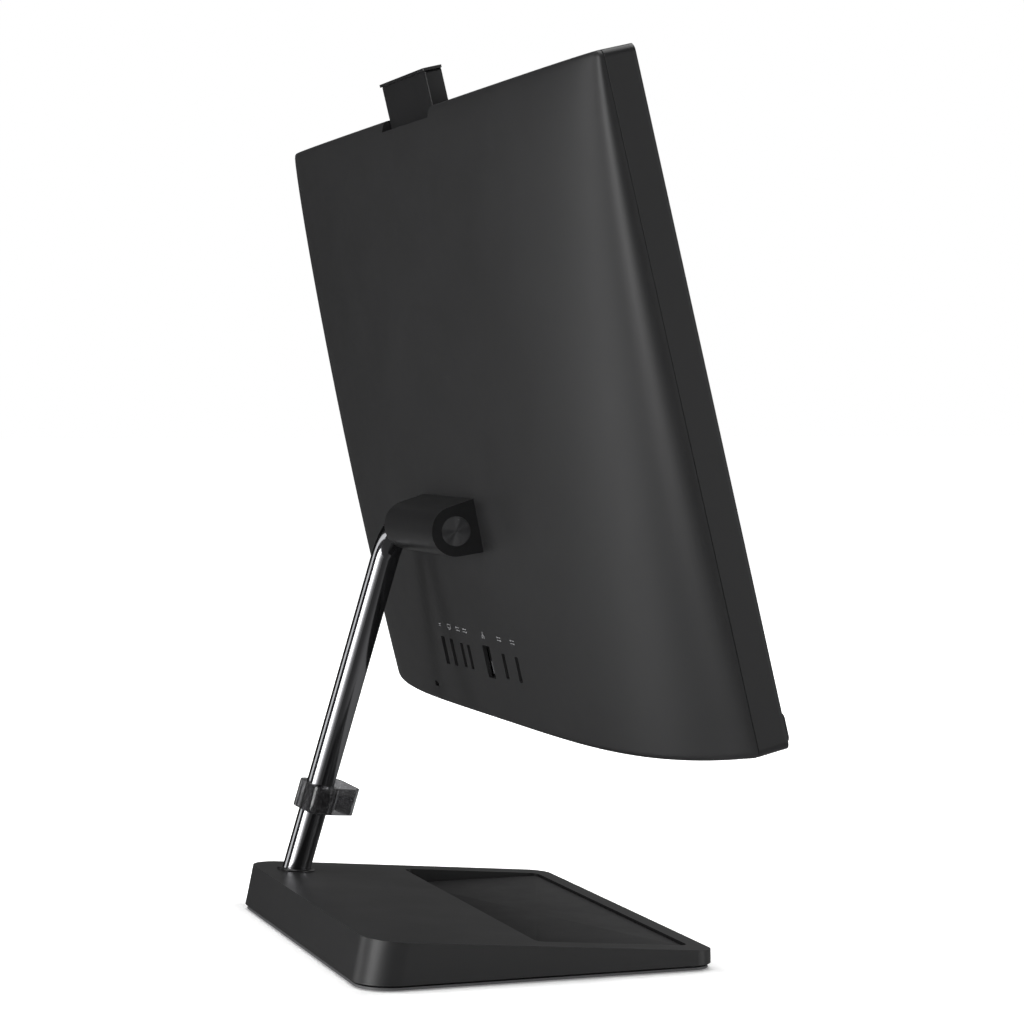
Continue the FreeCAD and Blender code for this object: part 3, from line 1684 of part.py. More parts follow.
def make_base():
    skirt = S.base_skirt_z
    outside = base_loft("base_outside", ZERO, skirt, CUT_HEIGHT)
    wedge = carve(outside, [slope_block(ZERO, "base_slope")])
    hollow = base_loft("base_hollow", S.base_wall, skirt - 1, CUT_HEIGHT)
    room = carve(hollow, [slope_block(S.base_wall, "hollow_slope")])
    well = tray_block("tray_outside", S.tray_wall, MAT_LOW - S.tray_wall)
    room = carve(room, [well])
    recess = tray_block("tray_recess", ZERO, MAT_LOW)
    shell = carve(wedge, [room, recess])
    posts = [
        rod("Z", WEIGHT_TOP, top - WEIGHT_TOP, S.post_radius, (x, y)) for x, y, top in post_places()
    ]
    passage = round_passage("pole_passage", S.pole_radius + S.ferrule_gap, ZERO - 30, ZERO + 60)
    places = [(x, y) for x, y, top in post_places()]
    holes = screw_shanks(
        places, WEIGHT_TOP - 1, WEIGHT_TOP + S.screw_grip, S.screw_radius + S.fit_gap
    )
    finish("base_cover", carve(join([shell] + posts), [passage] + holes))
    make_tray_mat(MAT_LOW)
    make_ferrule()


def round_passage(name, radius, low, length):
    """A round bar along the pole's slope, for boring a hole."""
    bar = new_body(name)
    ring = new_sketch(bar, "XY_Plane", low)
    draw_circle(ring, (ZERO, ZERO), radius)
    extrude(bar, ring, length)
    stand_on_pole(bar, ZERO)
    return bar


def make_tray_mat(floor):
    """A thin ribbed mat lying in the tray."""
    body = new_body("tray_mat_blank")
    flat = new_sketch(body, "XY_Plane", floor)
    half = S.tray_half_width - S.mat_gap
    depth = (TRAY_Y[0] + S.mat_gap, TRAY_Y[1] - S.mat_gap)
    draw_rectangle(flat, (-half, half), depth)
    pad = extrude(body, flat, S.mat_thickness)
    round_edges(body, pad, S.tray_corner - S.mat_gap, is_along(V(0, 0, 1)))
    grooves = []
    margin = S.tray_corner
    for k in range(steps(depth[0] + margin, depth[1] - margin, S.rib_pitch)):
        y = depth[0] + margin + S.rib_pitch * k
        grooves.append(
            box(
                (-half + margin, half - margin),
                (y, y + S.rib_width),
                (S.tray_floor - S.rib_depth, S.tray_floor + 1),
            )
        )
    finish("tray_mat", carve(body, grooves))


def make_ferrule():
    """A low turned ring round the pole, lying on the sloping top."""
    slope = (S.base_rear_height - S.base_front_height) / (S.base_depth - S.base_draft_rear)
    lean = FreeCAD.Rotation(V(1, 0, 0), math.degrees(math.atan(slope.value)))
    body = new_body("ferrule_blank")
    flat = new_sketch(body, "XY_Plane")
    draw_circle(flat, (ZERO, ZERO), S.ferrule_radius)
    pad = extrude(body, flat, S.ferrule_height)
    bevel_edges(
        body,
        pad,
        S.ferrule_height / 2,
        lambda edge: all(v.Point.z > S.ferrule_height.value - 1e-6 for v in edge.Vertexes),
    )
    body.Placement = FreeCAD.Placement(V(), lean)
    for axis, place in zip("xyz", (S.pole_foot_x, S.pole_foot_y, POLE_FOOT_Z)):
        bind(body, f"Placement.Base.{axis}", place)
    hole = round_passage("ferrule_hole", S.pole_radius + S.ferrule_gap, ZERO - 20, ZERO + 40)
    finish("pole_ferrule", carve(body, [hole]))


def make_base_inside():
    """Steel weight, the block that holds the pole, bottom plate, feet and screws."""
    bottom = base_loft("base_bottom_blank", S.bottom_plate_inset, PLATE_LOW_Z, PLATE_TOP_Z)
    weight = base_loft("base_weight_blank", S.weight_inset, PLATE_TOP_Z, WEIGHT_TOP)
    feet_places = []
    for side in (-1, 1):
        for y in (BASE_FRONT + S.foot_inset, BASE_REAR - S.foot_inset):
            feet_places.append(((S.base_half_width - S.foot_inset) * side, y))
    feet = [
        rod("Z", ZERO, PLATE_LOW_Z + S.foot_sink, S.foot_radius, place) for place in feet_places
    ]
    seats = [
        rod("Z", PLATE_LOW_Z - 1, 1 + S.foot_sink, S.foot_radius, place) for place in feet_places
    ]
    cover_places = [(x, y) for x, y, top in post_places()]
    reach = S.socket_radius - S.screw_head - 0.2
    socket_places = []
    for turn in (180, 250, 320):
        angle = Size(turn, str(turn))
        socket_places.append(
            (S.pole_foot_x + reach * cosine(angle), S.pole_foot_y + reach * sine(angle))
        )
    places = cover_places + socket_places
    loose = S.screw_radius + S.fit_gap
    head_low = PLATE_LOW_Z + 0.1
    head_high = PLATE_TOP_Z - 0.3
    head_seats = screw_shanks(places, PLATE_LOW_Z - 1, head_high, S.screw_head + S.fit_gap)
    holes = screw_shanks(places, PLATE_LOW_Z, WEIGHT_TOP + 1, loose)
    finish("base_bottom", carve(bottom, seats + head_seats + holes))
    holes = screw_shanks(places, PLATE_LOW_Z, WEIGHT_TOP + 1, loose)
    finish("base_weight", carve(weight, holes))
    finish("rubber_feet", group(feet))
    for name, chosen, top in (
        ("base_screws", cover_places, WEIGHT_TOP + S.screw_grip - 0.2),
        ("socket_screws", socket_places, WEIGHT_TOP + 5),
    ):
        heads = screw_shanks(chosen, head_low, head_high, S.screw_head)
        shanks = screw_shanks(chosen, head_high - 0.1, top, S.screw_radius)
        finish(name, group([join(pair) for pair in zip(heads, shanks)]))
    block = rod(
        "Z",
        WEIGHT_TOP,
        POLE_FOOT_Z - WEIGHT_TOP - S.base_wall - 1.8,
        S.socket_radius,
        (S.pole_foot_x, S.pole_foot_y),
    )
    bore = round_passage("socket_bore", S.pole_radius, ZERO - SOCKET_DEPTH - 0.2, ZERO + 40)
    holes = screw_shanks(socket_places, WEIGHT_TOP - 1, WEIGHT_TOP + 5.2, loose)
    finish("pole_socket", carve(block, [bore] + holes))


# ---------------------------------------------------------------- cable clip
def make_cable_clip():
    """A clear loop: a grip round the pole at one end, room for cables at the other."""
    body = new_body("cable_clip")
    outline = new_sketch(body, "XY_Plane")
    half = S.clip_half_width
    draw_rectangle(outline, (-S.clip_back, S.clip_front), (-half, half))
    pad = extrude(body, outline, S.clip_height)
    at_back = lambda edge: is_along(V(0, 0, 1))(edge) and edge.Vertexes[0].Point.x < 0
    at_front = lambda edge: is_along(V(0, 0, 1))(edge) and edge.Vertexes[0].Point.x > 20
    rear = round_edges(body, pad, S.clip_round_back, at_back)
    round_edges(body, rear, S.clip_round_front, at_front)
    room = new_sketch(body, "XY_Plane")
    wall = S.clip_wall
    draw_rectangle(room, (S.clip_grip_end, S.clip_front - wall), (-half + wall, half - wall))
    sink(body, room, reverse=True)
    inner = lambda edge: is_along(V(0, 0, 1))(edge) and edge.Vertexes[0].Point.x > 20 and (
        abs(edge.Vertexes[0].Point.y) < half.value - wall.value + 0.01
    )
    round_edges(body, body.Tip, S.clip_round_front - wall, inner)
    grip = new_sketch(body, "XY_Plane")
    draw_circle(grip, (ZERO, ZERO), S.pole_radius + S.clip_gap)
    sink(body, grip, reverse=True)
    slit = new_sketch(body, "XY_Plane")
    draw_rectangle(
        slit,
        (S.clip_slit_at, S.clip_slit_at + S.clip_slit),
        (half - wall - 1, half + 1),
    )
    sink(body, slit, reverse=True)
    stand_on_pole(body, S.clip_up * 1.0, S.clip_turn.value)
    finish("cable_clip", body)


# ---------------------------------------------------------------- build, check and write
def check_and_write():
    DOC.recompute()
    for thing in DOC.Objects:
        if "Invalid" in thing.State or "Error" in thing.State:
            raise RuntimeError(f"{thing.Label} is {thing.State}")
    os.makedirs("parts", exist_ok=True)
    for thing in FINISHED:
        shape = thing.Shape
        if shape.isNull() or not shape.isValid() or not shape.Solids:
            raise RuntimeError(f"{thing.Label} is not a valid solid")
        shape.exportStep(f"parts/{thing.Label}.step")
        print(f"{thing.Label:22s} solids {len(shape.Solids):3d} volume {shape.Volume:12.1f}")


def main():
    make_middle_frame()
    make_front_bezel()
    make_screen()
    make_speaker_bar()
    crown = make_rear_cover()
    make_chassis_plate()
    make_hinge_bracket()
    make_mainboard()
    make_memory_modules()
    flat_card("ssd_module", S.drive_module_x, S.drive_module_length, S.drive_module_z, S.drive_module_height)
    flat_card("wifi_card", S.card_x, S.card_length, S.card_z, S.card_height)
    make_disk()
    make_speakers()
    make_cooling()
    make_sockets()
    make_lan_port()
    make_power_button()
    make_camera()
    make_camera_guide()
    make_hinge_housing(crown)
    make_hinge_inside()
    make_spindle()
    make_pole()
    make_base()
    make_base_inside()
    make_cable_clip()
    check_and_write()


main()
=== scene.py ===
"""A display computer on a bent tube stand: finished surfaces, studio floor, lights and camera."""

import json
import math

import bmesh
import bpy
from mathutils import Matrix, Vector


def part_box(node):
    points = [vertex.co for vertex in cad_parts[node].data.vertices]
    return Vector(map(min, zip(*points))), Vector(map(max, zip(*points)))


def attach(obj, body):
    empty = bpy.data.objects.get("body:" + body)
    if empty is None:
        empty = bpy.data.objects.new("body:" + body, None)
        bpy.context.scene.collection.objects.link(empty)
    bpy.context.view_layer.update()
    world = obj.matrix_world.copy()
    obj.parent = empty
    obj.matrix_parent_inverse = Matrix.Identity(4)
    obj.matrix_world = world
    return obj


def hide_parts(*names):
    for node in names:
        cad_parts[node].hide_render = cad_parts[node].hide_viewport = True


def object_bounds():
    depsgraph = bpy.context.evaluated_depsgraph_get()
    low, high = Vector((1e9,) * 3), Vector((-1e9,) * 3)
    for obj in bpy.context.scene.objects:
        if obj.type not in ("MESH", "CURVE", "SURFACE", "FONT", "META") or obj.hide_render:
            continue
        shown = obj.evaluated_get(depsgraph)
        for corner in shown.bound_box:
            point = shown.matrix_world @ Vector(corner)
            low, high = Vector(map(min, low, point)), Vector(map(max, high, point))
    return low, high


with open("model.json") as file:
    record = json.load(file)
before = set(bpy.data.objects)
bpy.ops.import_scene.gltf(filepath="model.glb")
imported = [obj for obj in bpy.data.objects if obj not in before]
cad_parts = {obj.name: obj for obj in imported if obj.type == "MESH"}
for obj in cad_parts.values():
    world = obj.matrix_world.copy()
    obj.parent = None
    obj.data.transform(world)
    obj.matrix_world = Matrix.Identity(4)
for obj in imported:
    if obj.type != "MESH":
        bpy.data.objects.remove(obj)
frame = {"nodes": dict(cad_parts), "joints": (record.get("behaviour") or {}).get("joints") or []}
cad_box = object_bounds()
nodes = frame["nodes"]
joints = {joint["name"]: joint for joint in frame["joints"]}
MM = 0.001

# ---------------------------------------------------------------- frame of the tilted display
# PANEL maps the display's own millimetres into the row frame: x across, y back from the front,
# z up along the leaning screen. The lean is read from the camera's slide, which runs along it.
up = Vector(joints["camera_slide"]["axis"]).normalized()
SINE, COSINE = up.y, up.z
bezel_low, bezel_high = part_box("front_bezel")
span = bezel_high - bezel_low
BEZEL = (span.y * COSINE - span.z * SINE) / (COSINE**2 - SINE**2)
HEIGHT = (span.z * COSINE - span.y * SINE) / (COSINE**2 - SINE**2)
HALF = bezel_high.x
PANEL = Matrix.Translation((0, bezel_low.y, bezel_low.z + BEZEL * SINE)) @ Matrix.Rotation(
    -math.atan2(SINE, COSINE), 4, "X"
)


# ---------------------------------------------------------------- mesh helpers
def new_object(name, mesh, place=None):
    thing = bpy.data.objects.new(name, mesh)
    bpy.context.scene.collection.objects.link(thing)
    if place is not None:
        thing.matrix_world = place
    return thing


def from_bmesh(name, bm, place=None):
    mesh = bpy.data.meshes.new(name)
    bm.to_mesh(mesh)
    bm.free()
    return new_object(name, mesh, place)


def settle(thing):
    """Make the modifiers' result the mesh itself."""
    bpy.context.view_layer.update()
    graph = bpy.context.evaluated_depsgraph_get()
    mesh = bpy.data.meshes.new_from_object(thing.evaluated_get(graph))
    thing.modifiers.clear()
    thing.data = mesh
    return thing


def smooth(thing, angle=30.0):
    for face in thing.data.polygons:
        face.use_smooth = True
    thing.data.set_sharp_from_angle(angle=math.radians(angle))
    return thing


def soften(name, width, segments, angle=32.0):
    """Small rounds on a node's sharp edges, as moulded parts have."""
    thing = nodes[name]
    weld = thing.modifiers.new("weld", "WELD")
    weld.merge_threshold = 2e-6
    bevel = thing.modifiers.new("rounds", "BEVEL")
    bevel.width = width * MM
    bevel.segments = segments
    bevel.limit_method = "ANGLE"
    bevel.angle_limit = math.radians(angle)
    bevel.use_clamp_overlap = True
    even = thing.modifiers.new("even", "WEIGHTED_NORMAL")
    even.weight = 60
    even.keep_sharp = False
    for face in thing.data.polygons:
        face.use_smooth = True
    return thing


def cut(thing, tool):
    change = thing.modifiers.new("cut", "BOOLEAN")
    change.operation = "DIFFERENCE"
    change.solver = "EXACT"
    change.object = tool
    settle(thing)
    bpy.data.objects.remove(tool)
    return thing


def add_prism(bm, outline, low, high, turn):
    """A closed prism: outline is a list of pairs, turn maps (p, q, level) to a point."""
    rings = [[bm.verts.new(turn(p, q, level)) for p, q in outline] for level in (low, high)]
    count = len(outline)
    bm.faces.new(rings[0][::-1])
    bm.faces.new(rings[1])
    for k in range(count):
        j = (k + 1) % count
        bm.faces.new((rings[0][k], rings[0][j], rings[1][j], rings[1][k]))


def cut_prisms(thing, name, prisms):
    """Cut prisms, each given as (outline, low, high, turn), out of a piece in one go."""
    bm = bmesh.new()
    for prism in prisms:
        add_prism(bm, *prism)
    bmesh.ops.recalc_face_normals(bm, faces=bm.faces[:])
    return cut(thing, from_bmesh(name, bm))


def along_y(p, q, level):
    return Vector((p, level, q)) * MM


def along_z(p, q, level):
    return Vector((p, q, level)) * MM


def oblong(half, low, high):
    """Outline of a rectangle that is centred on x = 0."""
    return [(-half, low), (half, low), (half, high), (-half, high)]


def rounded(left, right, low, high, radius, steps=4):
    """Outline of a rectangle with round corners, counter-clockwise."""
    points = []
    for cx, cy, start in (
        (right - radius, low + radius, -90),
        (right - radius, high - radius, 0),
        (left + radius, high - radius, 90),
        (left + radius, low + radius, 180),
    ):
        for k in range(steps + 1):
            angle = math.radians(start + 90 * k / steps)
            points.append((cx + radius * math.cos(angle), cy + radius * math.sin(angle)))
    return points


# ---------------------------------------------------------------- rear cover
# Millimetres on the panel. A pair of exponents is for the foot and for the top of the cover.
BAND = 15.5  # depth of the side band; the cover starts at its back
CROWN_LOW, CROWN_HIGH, RISE_POWER = 38.3, 9.4, 1.27  # crown's depth at foot and top, and its fall
PLAN = (4.5, 2.84)
SHOULDER = (1.375, 2.645)
WALL = 2.2
CORNER = 4.0
END_ZONE = 4.3  # height at each end that the rows of the rounded edge take up
ROUND_SHARE = 0.45  # most of the crown's depth that the rounded edge may use
EDGE_STEPS = (0.15, 0.33, 0.55, 0.78, 1.0)
TALL = HEIGHT / MM
WIDE = HALF / MM


def crown_depth(rise):
    return CROWN_HIGH + (CROWN_LOW - CROWN_HIGH) * max(1 - rise * rise, 0.0) ** (RISE_POWER / 2)


def crown_back(share, rise, inset=0.0):
    """How far the back stands behind the seam at a share of the half width and of the height."""
    n = PLAN[0] + (PLAN[1] - PLAN[0]) * rise
    p = SHOULDER[0] + (SHOULDER[1] - SHOULDER[0]) * rise
    return (crown_depth(rise) - inset) * max(1 - abs(share) ** n, 0.0) ** (1 / p)


def crown_grid(inset, columns, rows, round_low, round_high):
    """Rows of points from the seam under the cover, over its back, to the seam on top."""
    shares = [math.sin((k / columns - 0.5) * math.pi) for k in range(columns + 1)]
    corner = max(CORNER - inset, 0.5)
    low, high = inset, TALL - inset

    def half_at(z):
        reach = min(z - low, high - z)
        if reach >= corner:
            return WIDE - inset
        lost = corner - math.sqrt(max(corner**2 - (corner - reach) ** 2, 0))
        return WIDE - inset - lost

    def place(share, z, drop=0.0):
        rise = min(max((z - low) / (high - low), 0.0), 1.0)
        back = crown_back(share, rise, inset) - drop
        return Vector((half_at(z) * share, BAND + max(back, 0.0), z)) * MM

    def end_rows(edge, into, rise, limit, keeps, turns):
        """Rows from the seam, over the end and its rounded edge, into the crown."""
        radii = [min(limit, ROUND_SHARE * crown_back(share, rise, inset)) for share in shares]
        both = list(zip(shares, radii))
        lines = []
        for keep in keeps:
            line = []
            for share, radius in both:
                full = crown_back(share, rise, inset) - radius
                line.append(Vector((half_at(edge) * share, BAND + full * keep, edge)) * MM)
            lines.append(line)
        for k in range(turns + 1):
            turn = k / turns * math.pi / 2
            line = []
            for share, radius in both:
                z = edge + into * radius * (1 - math.cos(turn))
                line.append(place(share, z, radius * (1 - math.sin(turn))))
            lines.append(line)
        for w in EDGE_STEPS:
            line = []
            for share, radius in both:
                line.append(place(share, edge + into * radius + into * (END_ZONE - radius) * w))
            lines.append(line)
        return lines

    grid = end_rows(low, 1, 0.0, round_low, (0.0, 0.35, 0.7, 0.9), 5)
    first = math.asin(END_ZONE / (high - low))
    last = math.asin(1 - END_ZONE / (high - low))
    for k in range(1, rows):
        turn = first + (last - first) * k / rows
        z = low + (high - low) * math.sin(turn)
        grid.append([place(share, z) for share in shares])
    return grid + end_rows(high, -1, 1.0, round_high, (0.0, 0.35, 0.7), 4)[::-1]


def crown_block(name, inset, columns, rows, round_low, round_high, seam):
    """The crowned back as a closed solid that stands on the plane y = seam."""
    grid = crown_grid(inset, columns, rows, round_low, round_high)
    bm = bmesh.new()
    verts = [[bm.verts.new(point) for point in line] for line in grid]
    for a, b in zip(verts, verts[1:]):
        for k in range(len(a) - 1):
            bm.faces.new((a[k], b[k], b[k + 1], a[k + 1]))
    edge = (
        verts[0][:]
        + [line[-1] for line in verts[1:-1]]
        + verts[-1][::-1]
        + [line[0] for line in verts[-2:0:-1]]
    )
    flat = [bm.verts.new((v.co.x, seam * MM, v.co.z)) for v in edge] if seam < BAND else edge
    if seam < BAND:
        for k in range(len(edge)):
            j = (k + 1) % len(edge)
            bm.faces.new((edge[k], edge[j], flat[j], flat[k]))
    bmesh.ops.remove_doubles(bm, verts=bm.verts[:], dist=2e-6)
    rim = [e for e in bm.edges if e.is_boundary]
    bmesh.ops.contextual_create(bm, geom=rim)
    bmesh.ops.recalc_face_normals(bm, faces=bm.faces[:])
    return from_bmesh(name, bm)


NOTCH_HALF, NOTCH_FLOOR = 42.4, TALL - 5.5
RECESS_FRONT, RECESS_WALL_FRONT = 10.0, 5.0
PASSAGE = (40.35, 12.0, 23.55)  # the camera's way down: half width, front, back
PAST_BACK, PAST_END = 60.0, 2.0  # clear of the cover's back, and of its ends
SOCKET_Z, SOCKET_FACE, SOCKET_ROUND = 33.3, 50.6, 0.7
LOCK_SLOT, LOCK_FRONT = (95.2, 102.2, 9.1, 12.1), 34.0
EXHAUST, EXHAUST_SPAN = (17.0, 20.2), (60, 216)
INTAKE, INTAKE_SPAN = (21.0, 39.0), (24, 192)
SOCKETS = {  # centre, width, height
    "dc": (64.8, 6.6, 16.2),
    "video": (49.0, 5.6, 15.8),
    "data_a": (31.0, 5.0, 14.0),
    "data_b": (18.8, 5.0, 14.0),
    "net": (-13.2, 12.4, 18.0),
    "data_c": (-40.9, 5.0, 14.0),
    "data_d": (-62.3, 5.0, 14.0),
}


def vent_places(inner, outer, pitch=13.0, width=9.0):
    """Left and right ends of slots that repeat outward on both sides of the middle."""
    places = []
    x = inner
    while x <= outer + 0.01:
        places += [(x, x + width), (-x - width, -x)]
        x += pitch
    return places


def make_cover():
    cover = crown_block("rear_cover_shell", 0.0, 112, 56, 3.0, 1.0, BAND)
    hollow = crown_block("hollow", WALL, 48, 24, 1.5, 0.6, BAND - 2)
    over = TALL + PAST_END
    recess_walls = oblong(NOTCH_HALF + WALL, RECESS_WALL_FRONT, PAST_BACK)
    cut_prisms(hollow, "recess_walls", [(recess_walls, NOTCH_FLOOR - WALL, over, along_z)])
    cut(cover, hollow)
    slots = []
    for x, width, tall in SOCKETS.values():
        low, high = SOCKET_Z - tall / 2, SOCKET_Z + tall / 2
        mouth = rounded(x - width / 2, x + width / 2, low, high, SOCKET_ROUND, 3)
        slots.append((mouth, SOCKET_FACE, PAST_BACK, along_y))
    slots.append((rounded(*LOCK_SLOT, 0.6, 3), LOCK_FRONT, PAST_BACK, along_y))
    for left, right in vent_places(*EXHAUST_SPAN):
        slots.append((rounded(left, right, *EXHAUST, 1.2, 3), TALL - 4, over, along_z))
    for left, right in vent_places(*INTAKE_SPAN):
        slots.append((rounded(left, right, *INTAKE, 1.6, 3), -PAST_END, WALL + 1, along_z))
    cut_prisms(cover, "slots", slots)
    recess = oblong(NOTCH_HALF, RECESS_FRONT, PAST_BACK)
    cut_prisms(cover, "recess", [(recess, NOTCH_FLOOR, over, along_z)])
    passage = (oblong(*PASSAGE), NOTCH_FLOOR - WALL - 2, NOTCH_FLOOR + 1, along_z)
    cut_prisms(cover, "passage", [passage])
    smooth(cover, 28)
    cover.matrix_world = PANEL
    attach(cover, "display")
    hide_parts("rear_cover")
    return cover


cover = make_cover()


# ---------------------------------------------------------------- marks over the sockets
def stroke(points, width):
    """Outline of a thin straight bar from one point to the other."""
    (ax, ay), (bx, by) = points
    length = math.hypot(bx - ax, by - ay)
    nx, ny = -(by - ay) / length * width / 2, (bx - ax) / length * width / 2
    return [(ax - nx, ay - ny), (bx - nx, by - ny), (bx + nx, by + ny), (ax + nx, ay + ny)]


def frame_bars(left, right, low, high, width):
    """The four bars of a rectangular frame."""
    return [
        stroke(((left, low), (right, low)), width),
        stroke(((left, high), (right, high)), width),
        stroke(((left, low), (left, high)), width),
        stroke(((right, low), (right, high)), width),
    ]


def disc(cx, cy, radius, steps=14):
    return [
        (cx + radius * math.cos(k / steps * math.tau), cy + radius * math.sin(k / steps * math.tau))
        for k in range(steps)
    ]


LINE = 0.38
MARK_Z, MARK_SINK, MARK_PROUD = 48.1, 0.06, 0.05
MARKS = {
    "dc": [stroke(((-1.9, 0.7), (1.9, 0.7)), LINE)]
    + [stroke(((a, -0.5), (a + 0.9, -0.5)), LINE) for a in (-1.9, -0.45, 1.0)],
    "video": frame_bars(-3.0, 3.0, -0.6, 1.4, LINE) + [stroke(((-1.8, -1.4), (1.8, -1.4)), LINE)],
    "data": [
        stroke(((-2.4, 0.8), (3.2, 0.8)), LINE),
        [(-2.3, 0.1), (-2.3, 1.5), (-3.5, 0.8)],
        stroke(((-3.2, -0.8), (2.4, -0.8)), LINE),
        [(2.3, -1.5), (3.5, -0.8), (2.3, -0.1)],
    ],
    "net": frame_bars(-0.6, 0.6, 0.6, 1.7, LINE)
    + frame_bars(-2.0, -0.9, -1.7, -0.7, LINE)
    + frame_bars(0.9, 2.0, -1.7, -0.7, LINE)
    + [
        stroke(((0, 0.6), (0, 0.0)), LINE),
        stroke(((-1.45, 0.0), (1.45, 0.0)), LINE),
        stroke(((-1.45, 0.0), (-1.45, -0.7)), LINE),
        stroke(((1.45, 0.0), (1.45, -0.7)), LINE),
    ],
}
MARK_PLACES = {  # shape and x
    "dc": ("dc", 65.3),
    "video": ("video", 47.9),
    "data_a": ("data", 32.3),
    "data_b": ("data", 19.5),
    "net": ("net", -12.3),
    "data_c": ("data", -39.4),
    "data_d": ("data", -61.4),
}


def make_marks():
    """Generic printed marks, thin bars that follow the crown."""
    made = []
    for name, (shape, x) in MARK_PLACES.items():
        bm = bmesh.new()
        for outline in MARKS[shape]:
            points = []
            for p, q in outline:
                px, pz = x - p, MARK_Z + q
                back = crown_back(px / WIDE, pz / TALL)
                points.append((px, BAND + back, pz))
            low = [bm.verts.new(Vector((a, b - MARK_SINK, c)) * MM) for a, b, c in points]
            high = [bm.verts.new(Vector((a, b + MARK_PROUD, c)) * MM) for a, b, c in points]
            bm.faces.new(high)
            for k in range(len(points)):
                j = (k + 1) % len(points)
                bm.faces.new((low[k], low[j], high[j], high[k]))
        bmesh.ops.recalc_face_normals(bm, faces=bm.faces[:])
        mark = from_bmesh("mark_" + name, bm, PANEL)
        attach(mark, "display")
        made.append(mark)
    return made


marks = make_marks()

# ---------------------------------------------------------------- pole
hinge = Vector(joints["display_tilt"]["pos_m"])
pole_up = Vector(joints["clip_slide"]["axis"]).normalized()
POLE_RADIUS, POLE_BEND, POLE_IN_BASE = 7.86 * MM, 24.0 * MM, 9.0 * MM


def tube(name, points, radius, bend, sides=72, arc_steps=28):
    """A smooth tube through three points with one round bend."""
    a, b, c = points
    into, out = (b - a).normalized(), (c - b).normalized()
    turn = math.acos(into.dot(out))
    reach = bend * math.tan(turn / 2)
    start = b - into * reach
    axis = into.cross(out).normalized()
    centre = start + axis.cross(into) * bend
    path = [(a, into)]
    for k in range(arc_steps + 1):
        spin = Matrix.Rotation(turn * k / arc_steps, 3, axis)
        path.append((centre + spin @ (start - centre), spin @ into))
    path.append((c, out))
    bm = bmesh.new()
    rings = []
    for place, way in path:
        second = axis.cross(way).normalized()
        ring = []
        for k in range(sides):
            t = k / sides * math.tau
            around = axis * math.cos(t) + second * math.sin(t)
            ring.append(bm.verts.new(place + around * radius))
        rings.append(ring)
    for low, high in zip(rings, rings[1:]):
        for k in range(sides):
            j = (k + 1) % sides
            bm.faces.new((low[k], low[j], high[j], high[k]))
    bm.faces.new(rings[0][::-1])
    bm.faces.new(rings[-1])
    bmesh.ops.recalc_face_normals(bm, faces=bm.faces[:])
    return smooth(from_bmesh(name, bm), 40)


pole_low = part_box("pole")[0]
foot_low, foot_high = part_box("pole_ferrule")
top_start = Vector((pole_low.x, hinge.y, hinge.z))
foot_x = (foot_low.x + foot_high.x) / 2
foot_y = (foot_low.y + foot_high.y) / 2
drop = (foot_y - hinge.y) / -pole_up.y
foot = Vector((foot_x, foot_y, hinge.z - drop * pole_up.z))
bend_at = Vector(((foot + pole_up * drop).x, hinge.y, hinge.z))
end = foot - pole_up * POLE_IN_BASE
pole = tube("pole_tube", (top_start, bend_at, end), POLE_RADIUS, POLE_BEND)
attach(pole, "stand")
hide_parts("pole")

# ---------------------------------------------------------------- cable clip
CLIP = {"back": 9.3, "front": 25.2, "half": 10.0, "wall": 1.5, "grip": 6.0, "height": 15.5}
CLIP_AT, CLIP_TURN = 36.0, -59.0
CLIP_BACK_ROUND, CLIP_FRONT_ROUND, CLIP_HOLE, CLIP_EDGE = 5.0, 4.5, 7.92, 0.32
CLIP_SLIT, CLIP_LIP = (14.0, 17.0), 0.6


def arc_points(cx, cy, radius, first, last, steps=8):
    return [
        (
            cx + radius * math.cos(math.radians(first + (last - first) * k / steps)),
            cy + radius * math.sin(math.radians(first + (last - first) * k / steps)),
        )
        for k in range(steps + 1)
    ]


